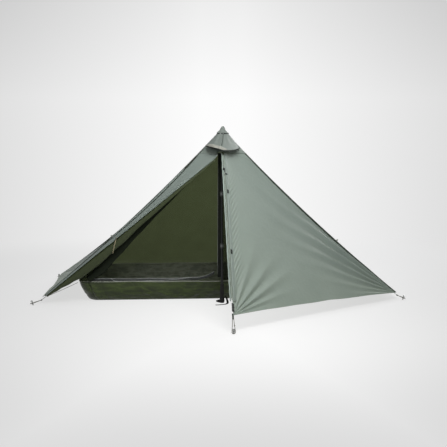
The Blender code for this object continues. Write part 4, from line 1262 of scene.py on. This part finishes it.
class TENT_OT_front_zip(bpy.types.Operator):
    """Sew the zip, its storm flap and the buckle on the front ridge"""

    bl_idname = "tent.front_zip"
    bl_label = "Front zip"

    def execute(self, context):
        colours, _ = settings(context)

        def flap(u, v):
            t = FLAP_LOW + (FLAP_HIGH - FLAP_LOW) * v
            clear = 0.0034 + 0.0020 * ramp(t, 0.22, -0.10)
            share = (clear + FLAP_WIDTH * u) / width_at(FRONT_RIGHT, t)
            metres = t * 1.5
            pull = 0.0013 * sin(metres * 118.0 + 9.0 * u) * sin(pi * min(u + 0.15, 1.0))
            pull += 0.0016 * drift(metres * 9.0, u * 1.5, 4.0)
            lip = 0.0010 * bell(u - 0.95, 0.08)
            puff = 0.0075 * sin(pi * u ** 0.6) * sin(pi * v) ** 0.4
            return FRONT_RIGHT(share, t) + outward(FRONT_RIGHT, share, t) * (
                0.0030 + pull + lip + puff)

        made = cloth("storm_flap_cloth", flap, 10, 240, fly_cloth(context),
                     size=(0.028, 1.20), nodes=["storm_flap"])

        def guard(u, v):
            t = ZIP_LOW - 0.006 + (PANEL_TOP - ZIP_LOW) * v
            ripple = 0.0010 * sin(t * 150.0) + 0.0012 * drift(t * 14.0, u, 2.0)
            return front_frame(t, -0.0150 + 0.0125 * u, -0.0068 + ripple)[0]

        # Painted highlight: the guard's outside is the fly cloth made paler, a lit copy of it
        outer = coated_cloth("Flap cloth", paler(colours.fly, 1.28), 0.0055, colours.fly_glow,
                             0.10, 0.46, hem=False)
        made = cloth("zip_guard_cloth", guard, 5, 160,
                     [outer, fly_cloth(context)[1]], size=(0.0125, 1.20))

        def track(u, v):
            t = ZIP_LOW + (ZIP_HIGH - ZIP_LOW) * v
            across = TEETH_ACROSS + (0.0012 - TEETH_ACROSS) * u
            return front_frame(t, across, 0.0003 * sin(t * 240))[0]

        # Painted highlight: the zip's tape and coil are painted paler than the fly, as pale as the
        # lit guard, which also washes out the shade in the zip's recess
        pale_painted_tape = woven_tape("Toned zip tape", (0.38, 0.43, 0.38), 0.78)
        made = cloth("front_zip_tape", track, 3, 120, [pale_painted_tape], size=(0.005, 1.18),
                     nodes=["fly_zip_track"])
        teeth = [front_frame(ZIP_LOW + (ZIP_HIGH - ZIP_LOW) * i / 40, TEETH_ACROSS, 0.0)[0]
                 for i in range(41)]
        zip_teeth("front_zip_teeth", teeth, 0.0019,
                  moulded_plastic("Zip coil", (0.36, 0.41, 0.36), 0.4))

        for i, (place, across, wide, long) in enumerate((
                (0.745, 0.0030, 0.019, 0.008), (0.646, 0.0085, 0.013, 0.030),
                (0.318, 0.0080, 0.013, 0.034))):
            spot, line, side, normal = front_frame(place, across, 0.0132)

            def tab(u, v, spot=spot, line=line, side=side, normal=normal, wide=wide, long=long):
                return (spot + side * ((u - 0.5) * wide) + line * ((v - 0.5) * long)
                        + normal * (0.0010 * sin(pi * v)))

            cloth(f"flap_tab_{i + 1}", tab, 4, 8,
                  [tape_finish(context, "binding")], 0.0018, size=(wide, long))

        dress_node("fly_zip_slider", dark_metal(), 0.0004)
        dress_node("fly_zip_pull", dark_metal(), 0.0003)
        self.buckle(context)
        return {"FINISHED"}

    def buckle(self, context):
        """A side-release buckle in two halves, with webbing through its bars."""
        spot, line, side, _ = front_frame(0.036, -0.002, 0.0062)
        base = frame_matrix(spot, side, line)
        plastic = black_plastic(context)

        def slot(half_x, low, high):
            """A hole of the buckle, from one height to another."""
            return [(-half_x, low), (-half_x, high), (half_x, high), (half_x, low)]

        body = [(-0.0086, -0.030), (0.0086, -0.030), (0.0088, -0.012), (0.0078, -0.006),
                (0.0088, 0.000), (0.0086, 0.004), (-0.0086, 0.004), (-0.0088, 0.000),
                (-0.0078, -0.006), (-0.0088, -0.012)]
        holes = [slot(0.0062, -0.0262, -0.0222), slot(0.0040, -0.0150, -0.0010)]
        plate("buckle_body", [body, *holes], 0.0066, base, plastic,
              nodes=["front_buckle"])
        clip = [(-0.0084, 0.0050), (0.0084, 0.0050), (0.0086, 0.030), (-0.0086, 0.030)]
        holes = [slot(0.0062, 0.0110, 0.0150), slot(0.0062, 0.0200, 0.0240)]
        plate("buckle_clip", [clip, *holes], 0.0054, base, plastic)

        def webbing(u, v):
            rise = 0.0030 * sin(2 * pi * v) - 0.0004
            return base @ Vector(((u - 0.5) * 0.011, 0.008 + 0.022 * v, rise))

        cloth("buckle_webbing", webbing, 3, 24, [tape_finish(context, "tape")],
              WEBBING_THICKNESS, size=(0.011, 0.026))


def tub_point(u, lean):
    """A point of the tub's rounded outline and its way out, u from 0 to 1 round it by length."""
    half_x = TUB_RIM_X - TUB_LEAN_END * lean
    front, back = TUB_RIM_FRONT + TUB_LEAN_FRONT * lean, TUB_RIM_BACK - TUB_LEAN_FRONT * lean
    in_x, in_y = half_x - TUB_CORNER, (back - front) / 2 - TUB_CORNER
    centres = ((-in_x, -in_y), (in_x, -in_y), (in_x, in_y), (-in_x, in_y))
    arc = pi * TUB_CORNER / 2
    at = (u % 1.0) * (4 * (in_x + in_y) + 4 * arc)
    for side, run in enumerate((2 * in_x, 2 * in_y) * 2):
        if at <= run:
            normal = ((0, -1), (1, 0), (0, 1), (-1, 0))[side]
            x, y = centres[side][0] - normal[1] * at, centres[side][1] + normal[0] * at
            break
        at -= run
        if at <= arc or side == 3:
            angle = radians(90 * side - 90 + 90 * min(at / arc, 1.0))
            normal = (cos(angle), sin(angle))
            x, y = centres[(side + 1) % 4]
            break
        at -= arc
    way = Vector((*normal, 0.0))
    return Vector((x, y + (back + front) / 2, 0.0)) + way * TUB_CORNER, way


class TENT_OT_tub(bpy.types.Operator):
    """Fold up the waterproof tub, with its floor and the binding on its rim"""

    bl_idname = "tent.tub"
    bl_label = "Tub"

    def execute(self, context):
        colours, _ = settings(context)
        # Painted highlights on the tub's cloth, inside and out: paler crease lines and streaks on
        # the folds
        outside = coated_cloth("Groundsheet", colours.tub, 0.006, TUB_GLOW, 0.05, 0.36, hem=False,
                               crumple=2.6, gloss=0.42, streaks=0.45)
        inside = coated_cloth("Groundsheet inside", (0.165, 0.182, 0.137), 0.006, TUB_GLOW, 0.08,
                              0.5, hem=False, crumple=3.0, gloss=0.4, streaks=0.30)

        def rim_sag(x, y):
            front = bell(y - TUB_RIM_FRONT, 0.05)
            return -0.0060 * front * (cos(x * 3.1) * 0.5 + 0.5) + 0.0016 * sin(x * 17.0)

        # Folds of the front: place at the rim, shift down to the floor, width and height in metres
        tub_folds = ((-0.955, 0.060, 0.014, 0.0120), (-0.900, 0.090, 0.012, -0.0070),
                     (-0.640, 0.200, 0.012, 0.0100), (-0.600, 0.330, 0.014, 0.0090),
                     (-0.330, 0.060, 0.018, 0.0085), (-0.170, -0.060, 0.014, 0.0135),
                     (-0.125, -0.050, 0.012, -0.0080), (0.210, 0.080, 0.016, 0.0090))

        def wall(u, v):
            point, normal = tub_point(u, 1 - v)
            low = 0.0013
            height = low + (TUB_HEIGHT - low + rim_sag(point.x, point.y)) * v ** 1.5
            sway = 0.0090 * drift(point.x * 4.0, point.y * 4.0, v * 1.3)
            lean = point.x + 0.35 * v * sin(point.x * 5.0)
            folds = 0.0150 * (0.5 - abs(drift(lean * 8.0, point.y * 8.0, v * 1.6)))
            folds += 0.0070 * (0.5 - abs(drift(lean * 19.0, point.y * 19.0, v * 3.4 + 5.0)))
            if point.y < 0.3:
                folds += sum(high * bell(point.x - x - shift * (1 - v), wide)
                             for x, shift, wide, high in tub_folds)
            pull = 0.0040 * sin(u * 150.0 + 3 * v) * bell(abs(point.x) - 0.93, 0.10)
            place = point + normal * (sin(pi * v) * (sway + folds + pull))
            return Vector((place.x, place.y, height))

        made = cloth("tub_wall_cloth", wall, 420, 20, [outside, inside],
                     size=(5.5, 0.17), inside=Vector((0.0, TUB_MIDDLE_Y, 0.05)), closed=True,
                     nodes=["tub_wall"])

        def floor(u, v):
            middle = Vector((0.0, (TUB_RIM_FRONT + TUB_RIM_BACK) / 2, 0.0))
            place = middle.lerp(tub_point(u, 1.0)[0], 0.9965 * (0.02 + 0.98 * v))
            rise = max(0.0, drift(place.x * 4.0, place.y * 4.0, 0.0)) * 0.0035
            rise += max(0.0, drift(place.x * 15.0, place.y * 15.0, 3.0)) * 0.0016
            return Vector((place.x, place.y, 0.0007 + rise * min((1 - v) * 9.0, 1.0)))

        made = cloth("tub_floor_cloth", floor, 200, 34, [inside], size=(5.3, 0.60),
                     inside=Vector((0.0, TUB_MIDDLE_Y, -1.0)), closed=True, nodes=["tub_floor"])
        for loop in made.data.loops:
            point = made.data.vertices[loop.vertex_index].co
            made.data.uv_layers["Cloth"].data[loop.index].uv = (point.x, point.y)

        def rim(u, v):
            point, normal = tub_point(u, 0.0)
            a = 2 * pi * v
            middle = point + UP * (TUB_HEIGHT + rim_sag(point.x, point.y) - 0.0006)
            return middle + normal * (0.0016 * cos(a)) + UP * (0.0032 * sin(a))

        cloth("tub_rim_binding", rim, 420, 10,
              [tape_finish(context, "pale_binding")], 0.0, size=(5.7, 0.012),
              inside=Vector((0.0, TUB_MIDDLE_Y, 0.15)), closed=True)
        return {"FINISHED"}


def inner_corner(x_sign, back):
    """Where a corner of the net meets the tub's rim."""
    y = TUB_RIM_BACK - 0.012 if back else TUB_RIM_FRONT + 0.012
    return Vector((x_sign * (TUB_RIM_X - 0.012), y, NET_LOW_Z))


def inner_ridge(corner):
    aside = corner - INNER_APEX
    level = Vector((aside.x, aside.y, 0.0)).normalized() * 0.016
    return ridge(corner, INNER_APEX + level, INNER_RIDGE_SAG)


INNER_RIDGES = {
    "front_left": inner_ridge(inner_corner(-1, False)),
    "front_right": inner_ridge(inner_corner(1, False)),
    "back_left": inner_ridge(inner_corner(-1, True)),
    "back_right": inner_ridge(inner_corner(1, True)),
}


def zip_post(t):
    """The upright zip's line, t from the tub's rim at 0 to the apex at 1."""
    low = Vector((0.0015, TUB_RIM_FRONT, NET_LOW_Z))
    return low.lerp(INNER_APEX + Vector((0.0015, -0.016, 0.0)), t)


class TENT_OT_inner(bpy.types.Operator):
    """Hang the net pyramid over the tub, with its zip, its rolled door and its elastics"""

    bl_idname = "tent.inner"
    bl_label = "Inner tent"

    def execute(self, context):
        black = tape_finish(context, "binding")
        open_net = net_finish(context)
        # Partly painted shade: the front net gets more cover, which stands in for the net seen on
        # the slant and for the shade behind the pole
        slant_and_shade_net = net_finish(context, "Insect net, doubled", 0.55)
        lines = INNER_RIDGES
        for name, left, right, size, area, inset, weave in (
            ("inner_mesh_front", zip_post, lines["front_right"], (1.04, 0.98), 0.49, 0.0,
             slant_and_shade_net),
            ("inner_mesh_right", lines["front_right"], lines["back_right"], (0.84, 1.46), 0.585,
             0.0012, open_net),
            ("inner_mesh_back", lines["back_right"], lines["back_left"], (2.08, 1.31), 1.335,
             0.0012, open_net),
            ("inner_mesh_left", lines["back_left"], lines["front_left"], (0.84, 1.46), 0.585,
             0.0012, open_net),
        ):
            surface = panel(left, right, belly=0.010, rise=0.0)

            def slack(u, t, surface=surface):
                point = surface(u, t)
                lift = 0.006 * noise.noise(point * 3.0) + 0.0025 * noise.noise(point * 11.0)
                return point + outward(surface, u, t) * (lift * sin(pi * u) * sin(pi * t))

            made = cloth(name + "_net", part_of(slack, 0, BACK_TOP, inset), 40, 40,
                         [weave], 0.0, plane_of(left(0), right(0), INNER_APEX), size, nodes=[name])

        for name, line in lines.items():
            points = [line(i / 40) + UP * 0.0006 for i in range(41)]
            round_cord("inner_seam_" + name, points, 0.0016, black, resolution=1)

        self.door(context)
        self.zips(context, black)
        self.cords(context)
        return {"FINISHED"}

    def door(self, context):
        """The net door, gathered along the left front seam."""
        widths = ((0.04, 0.045), (0.12, 0.066), (0.25, 0.055), (0.40, 0.040), (0.56, 0.028),
                  (0.80, 0.018), (0.95, 0.013))
        low, high = INNER_RIDGES["front_left"](0), INNER_RIDGES["front_left"](1)
        _, drop, through = hanging_axes(low, high)
        turns, steps = 6, 16

        def at(u, v):
            s = 0.04 + 0.91 * v
            width = mixed(widths, s)
            shrink = 1 - 0.75 * u
            angle = pi - 2 * pi * u * turns
            swell = 0.97 * (1 + 0.09 * cos(3 * angle + 2.4 * s) + 0.05 * cos(8 * angle + 6 * s)
                            + 0.04 * drift(s * 14, cos(angle), sin(angle)))
            centre = low.lerp(high, s) + Vector((0.0, -0.026, -0.003)) + drop * (width / 2 + 0.004)
            return (centre + drop * (cos(angle) * width / 2 * swell * shrink)
                    + through * (sin(angle) * width / 2 * 0.30 * swell * shrink))

        finish = gathered_net("Gathered net", settings(context)[0].net)
        made = cloth("inner_door_net", at, turns * steps, 70, [finish], 0.0,
                     size=(0.45, 1.28), inside=Vector((-0.5, 0.5, 0.5)), nodes=["inner_door_roll"])

    def zips(self, context, black):
        """The upright zip tape, the level one on the tub's rim, and their coils."""
        def upright(u, v):
            flutter = 0.0012 * drift(0.0, u * 2.0, v * 14.0)
            return zip_post(0.02 + 0.955 * v) + Vector((-0.0025 - 0.024 * (1 - u), flutter, 0))

        made = cloth("inner_zip_upright", upright, 6, 80, [black], 0.0009,
                     size=(0.024, 0.93), nodes=["inner_zip_high"])

        def level_line(v, up, forward=0.0):
            """A line along the rim that sags, waves and turns up at its right end."""
            x = -0.960 + 0.910 * v
            turn = max(0.0, (x + 0.190) / 0.140)
            dip = -0.0045 * sin(pi * min(v * 1.12, 1.0)) + 0.0015 * sin(x * 21.0)
            return Vector((x, TUB_RIM_FRONT + 0.002 - forward,
                           NET_LOW_Z + up + dip + 0.045 * turn * turn))

        tape_width = 0.019
        made = cloth("inner_zip_level", lambda u, v: level_line(v, tape_width * u),
                     5, 120, [tape_finish(context, "zip_tape")], 0.0009, size=(tape_width, 0.91),
                     inside=Vector((0.0, TUB_MIDDLE_Y, 0.15)), nodes=["inner_zip_low"])

        def slack(share):
            """How high the open side's coil lies: it drops from the closed one and climbs back."""
            return 0.0195 * (1 - min(share / 0.05, 1.0)) + 0.0195 * max(
                0.0, (share - 0.35) / 0.65) ** 1.6

        upper = [level_line(i / 60, 0.0195, 0.0004) for i in range(61)]
        lower = [level_line(0.16 + 0.66 * i / 40, slack(i / 40), 0.0022) for i in range(41)]
        beside_post = Vector((-0.0275, -0.0006, 0.0))
        upright = [zip_post(0.05 + 0.90 * i / 30) + beside_post for i in range(31)]
        grey = moulded_plastic("Grey zip coil", (0.46, 0.48, 0.48), 0.35)
        zip_teeth("inner_zip_teeth", upper, 0.0017, grey)
        zip_teeth("inner_zip_teeth_low", lower, 0.0017, grey)
        zip_teeth("inner_zip_teeth_high", upright, 0.0014, grey)
        dress_node("inner_slider", dark_metal(), 0.0002)
        dress_node("inner_pull", dark_metal(), 0.0002)

    def cords(self, context):
        """The cord from the apex to the peak, and the elastics from the corners to the fly."""
        hook = [INNER_APEX + UP * 0.006, Vector((0.0, 0.052, 1.160)), Vector((0.0, 0.032, 1.200)),
                Vector((0.0, 0.018, 1.232))]
        cord = round_cord("inner_hook_cord", smooth_line(hook, 8), 0.0022,
                          braided_cord("Hook cord", (0.03, 0.03, 0.03)), nodes=["inner_apex_hook"])
        for name, corner in (("front_left", "left"), ("front_right", "right"),
                             ("back_left", "back_left"), ("back_right", "back_right")):
            start = inner_corner(-1 if "left" in name else 1, "back" in name)
            start = start + Vector((copysign(0.017, start.x), 0.0, -0.010))
            end = RIDGES[corner](0.018) + DOWN * 0.018
            route = smooth_line([start, start.lerp(end, 0.5) + DOWN * 0.002, end], 10)
            cord = round_cord("elastic_" + name, route, 0.0015, cord_braid(context),
                              resolution=2, nodes=["inner_elastic_" + name])
            length_of(route)


class TENT_OT_pole(bpy.types.Operator):
    """Stand the trekking pole upside down under the peak"""

    bl_idname = "tent.pole"
    bl_label = "Pole"

    def execute(self, context):
        colours, _ = settings(context)
        widths = ((0.0, 0.0150), (0.006, 0.0180), (0.020, 0.0188), (0.034, 0.0164),
                  (0.055, 0.0147), (0.080, 0.0164), (0.105, 0.0144), (0.132, 0.0139),
                  (0.140, 0.0125))
        groove = 0.0068
        profile = [(0.0094, 0.0306), (0.0094, 0.140), (0.0118, 0.140), (0.0124, 0.1388)]
        for i in range(64):
            z = 0.1375 - 0.1360 * i / 63
            radius = mixed(widths, z)
            if 0.030 < z < 0.128:
                radius -= 0.0005 + 0.0005 * cos(z * 2 * pi / groove)
            profile.append((radius, z))
        profile += [(0.0149, 0.0004), (0.0143, 0.0), (0.0, 0.0)]
        grip = turned("pole_grip_foam", profile, soft_foam("Grip foam", colours.foam),
                      48, nodes=["pole_grip"])
        for vertex in grip.data.vertices:
            point = vertex.co
            if point.z < 0.0225 and hypot(point.x, point.y) > 0.010:
                lean = max(0.0, -cos(atan2(point.y, point.x))) ** 3
                point.x -= 0.0270 * lean * sin(pi * ramp(point.z, 0.001, 0.0235)) ** 0.7

        tube = worn_metal("Black anodised tube", colours.tube, 0.38, 0.55, 0.8, TUBE_DIRT)
        lever = worn_metal("Lock lever", (0.16, 0.165, 0.17), 0.34, 0.8)
        for name, finish, bevel in (
            ("upper_shaft", tube, 0.0), ("middle_shaft", tube, 0.0), ("lower_shaft", tube, 0.0),
            ("lock_low", black_plastic(context), 0.0004),
            ("lock_high", black_plastic(context), 0.0004),
            ("lever_low", lever, 0.0004), ("lever_high", lever, 0.0004),
        ):
            dress_node("pole_" + name, finish, bevel)

        route = [Vector((0.0228, -0.003, 0.049)), Vector((0.032, -0.014, 0.036)),
                 Vector((0.037, -0.030, 0.020)), Vector((0.038, -0.047, 0.009)),
                 Vector((0.030, -0.064, 0.0035)), Vector((0.012, -0.078, 0.0025)),
                 Vector((-0.010, -0.088, 0.0025)), Vector((-0.032, -0.094, 0.0025)),
                 Vector((-0.054, -0.098, 0.0025))]
        line = smooth_line(route, 8)
        last = len(line) - 1

        def strap(u, v):
            index = min(round(v * last), last)
            side = (line[min(index + 1, last)] - line[max(index - 1, 0)]).cross(UP).normalized()
            crown = 0.0006 * cos(pi * (u - 0.5))
            return line[index] + side * ((u - 0.5) * 0.0155) + UP * crown

        made = cloth("wrist_strap_webbing", strap, 6, last,
                     [tape_finish(context, "binding")], 0.0020, size=(0.0155, 0.17),
                     inside=Vector((0.0, 0.0, -1.0)), nodes=["pole_wrist_strap"])
        return {"FINISHED"}


class TENT_OT_corners(bpy.types.Operator):
    """Make the webbing eyes, the cord loops and the pegs of the five corners"""

    bl_idname = "tent.corners"
    bl_label = "Corners and pegs"

    def execute(self, context):
        corners = {"front": FRONT_CORNER, "left": LEFT_CORNER, "right": RIGHT_CORNER,
                   "back_left": BACK_LEFT_CORNER, "back_right": BACK_RIGHT_CORNER}
        for name, corner in corners.items():
            out = Vector((corner.x, corner.y, 0.0)).normalized()
            across = Vector((-out.y, out.x, 0.0))
            down = (RIDGES[name](0.0) - RIDGES[name](0.03)).normalized()
            below = down.cross(across).normalized()
            below = below if below.z < 0 else -below
            centre = corner + down * 0.017 + below * 0.012
            self.eye(context, name, centre, down, below, across)
            self.loop(context, name, centre, across)
            dress_node("peg_" + name, plain_metal(context), 0.0003)
        return {"FINISHED"}

    def eye(self, context, name, centre, down, below, across):
        """Webbing doubled over to an eye, as one strip that follows the solid's outline."""
        half = TAB_THICKNESS / 2
        angle = degrees(asin(half / EYE_RADIUS))
        legs = (-0.036, -0.024, -0.012)
        path = [(x, half / 2) for x in legs]
        path += arc_points((0, 0), (EYE_RADIUS + EYE_BORE) / 2, 180 - angle, -180 + angle, 25)
        path += [(x, -half / 2) for x in reversed(legs)]

        def strip(u, v):
            x, y = path[round(v * (len(path) - 1))]
            wave = 0.0002 * drift(x * 90, u * 2, 1.0)
            aside = across * ((u - 0.5) * (TAB_WIDTH - 0.001))
            return centre + down * x + below * (y + wave) + aside

        made = cloth("corner_eye_" + name, strip, 4, len(path) - 1,
                     [tape_finish(context, "tape")], 0.0013, size=(TAB_WIDTH, 0.098), inside=centre,
                     nodes=["corner_tab_" + name])

    def loop(self, context, name, eye, across):
        """The cord loop from the webbing eye to its peg and back, with its knot."""
        braid, diameter = cord_braid(context), settings(context)[1].guy_cord
        (pull_x, pull_y), reach = PULLS[name]
        out = Vector((pull_x, pull_y, 0.0)).normalized()
        beside = Vector((-out.y, out.x, 0.0))
        anchor = Vector((eye.x, eye.y, 0.0)) + out * reach + UP * LOOP_ON_PEG_Z
        fall = anchor - eye
        length = fall.length
        fall.normalize()
        turn, low_turn = 0.0045, 0.0120
        flat = [(0.0, 0.0)] + arc_points((turn, 0.0), turn, 180, 95, 6)[1:]
        leg = [(turn + (length - 0.0055) * i / 10, turn + 0.0075 * (i / 10) ** 1.6)
               for i in range(1, 10)]
        flat += leg + arc_points((length - 0.001, 0.0), low_turn, 90, -90, 24)
        flat += [(x, -y) for x, y in reversed(leg)]
        flat += arc_points((turn, 0.0), turn, -95, -180, 6)[:-1] + [(0.0, -0.0004)]
        points = []
        for x, y in flat:
            turned_by = max(0.0, (x / length - 0.3) / 0.7)
            points.append(eye + fall * x + across.lerp(beside, turned_by).normalized() * y)
        cord = round_cord("peg_cord_" + name, points, diameter / 2, braid, resolution=4,
                          nodes=["peg_loop_" + name])
        spot = points[len(points) // 5]
        knot_line = []
        for i in range(40):
            a = 4 * pi * i / 39
            knot_line.append(spot + fall * (0.0045 * (i / 39 - 0.5))
                             + Vector((cos(a), sin(a), 0.0)) * 0.0026)
        knot = round_cord("peg_knot_" + name, knot_line, diameter * 0.42, braid)
        length_of(points)


class TENT_OT_stage(bpy.types.Operator):
    """Lay a pale floor, hang soft lights and set the camera"""

    bl_idname = "tent.stage"
    bl_label = "Floor, light and camera"

    def execute(self, context):
        scene = context.scene
        self.floor()
        self.world(scene)
        for name, place, target, size, power, colour in LIGHTS:
            lamp = bpy.data.lights.new(name, "AREA")
            lamp.shape = "SQUARE"
            lamp.size = size
            lamp.energy = power
            lamp.color = colour
            holder = placed(name, lamp)
            holder.visible_camera = False
            holder.location = place
            aim = Vector(target) - Vector(place)
            holder.rotation_euler = aim.to_track_quat("-Z", "Y").to_euler()
        camera = bpy.data.cameras.new("Camera")
        camera.sensor_width = SENSOR
        camera.lens = FOCAL_LENGTH / PICTURE_SIDE * SENSOR
        camera.shift_x = SIDE_SHIFT / PICTURE_SIDE
        scene.camera = placed("Camera", camera)
        scene.camera.location = CAMERA_PLACE
        turn = -atan2(-CAMERA_PLACE[0], -CAMERA_PLACE[1])
        scene.camera.rotation_euler = (radians(90.0 - CAMERA_DIP), 0.0, turn)
        scene.view_settings.view_transform = "Standard"
        return {"FINISHED"}

    def floor(self):
        bm = bmesh.new()
        bmesh.ops.create_circle(bm, cap_ends=True, segments=96, radius=60.0)
        finish = Finish("Pale floor")
        x, y, _ = finish.split(finish.object_place())
        near = ((x * x + y * y - 2.0) / 15.0).clamped()
        far = near * near * (3.0 - near * 2.0)
        lit, dim = (finish.node("BsdfDiffuse", {}, {"Color": colour})
                    for colour in ((0.94, 0.94, 0.94, 1.0), (0.34, 0.34, 0.33, 1.0)))
        seen = finish.blend(far * 0.23 + 0.77, lit, finish.backdrop("Emission"))
        shader = finish.blend(finish.looked_at(), dim, seen)
        placed("Floor", mesh_of("Floor", bm), finish.finished(shader))

    def world(self, scene):
        finish = Finish("", bpy.data.worlds.new("Pale room"))
        room = finish.node("Background", {}, {"Color": (0.97, 0.985, 1.0, 1.0), "Strength": 0.24})
        seen = finish.blend(finish.looked_at(), room, finish.backdrop("Background"))
        scene.world = finish.finished(seen, "OutputWorld")


class TENT_PT_panel(bpy.types.Panel):
    bl_idname = "TENT_PT_panel"
    bl_label = "Pyramid tent"
    bl_space_type = "VIEW_3D"
    bl_region_type = "UI"
    bl_category = "Tent"

    def draw(self, context):
        column = self.layout.column()
        for operator in OPERATORS:
            column.operator(operator.bl_idname)
        for group in (context.scene.tent_sizes, context.scene.tent_colours):
            for name in group.__annotations__:
                column.prop(group, name)


OPERATORS = (TENT_OT_stage, TENT_OT_fly, TENT_OT_door, TENT_OT_ridges, TENT_OT_peak,
             TENT_OT_front_zip, TENT_OT_tub, TENT_OT_inner, TENT_OT_pole, TENT_OT_corners)
CLASSES = (TentSizes, TentColours, *OPERATORS, TENT_PT_panel)


def register():
    for made in CLASSES:
        bpy.utils.register_class(made)
    bpy.types.Scene.tent_sizes = PointerProperty(type=TentSizes)
    bpy.types.Scene.tent_colours = PointerProperty(type=TentColours)


def unregister():
    del bpy.types.Scene.tent_colours
    del bpy.types.Scene.tent_sizes
    for made in reversed(CLASSES):
        bpy.utils.unregister_class(made)


def main():
    register()
    bpy.ops.tent.stage()
    bpy.ops.tent.fly()
    bpy.ops.tent.door()
    bpy.ops.tent.ridges()
    bpy.ops.tent.peak()
    bpy.ops.tent.front_zip()
    bpy.ops.tent.tub()
    bpy.ops.tent.inner()
    bpy.ops.tent.pole()
    bpy.ops.tent.corners()


if __name__ == "__main__":
    main()
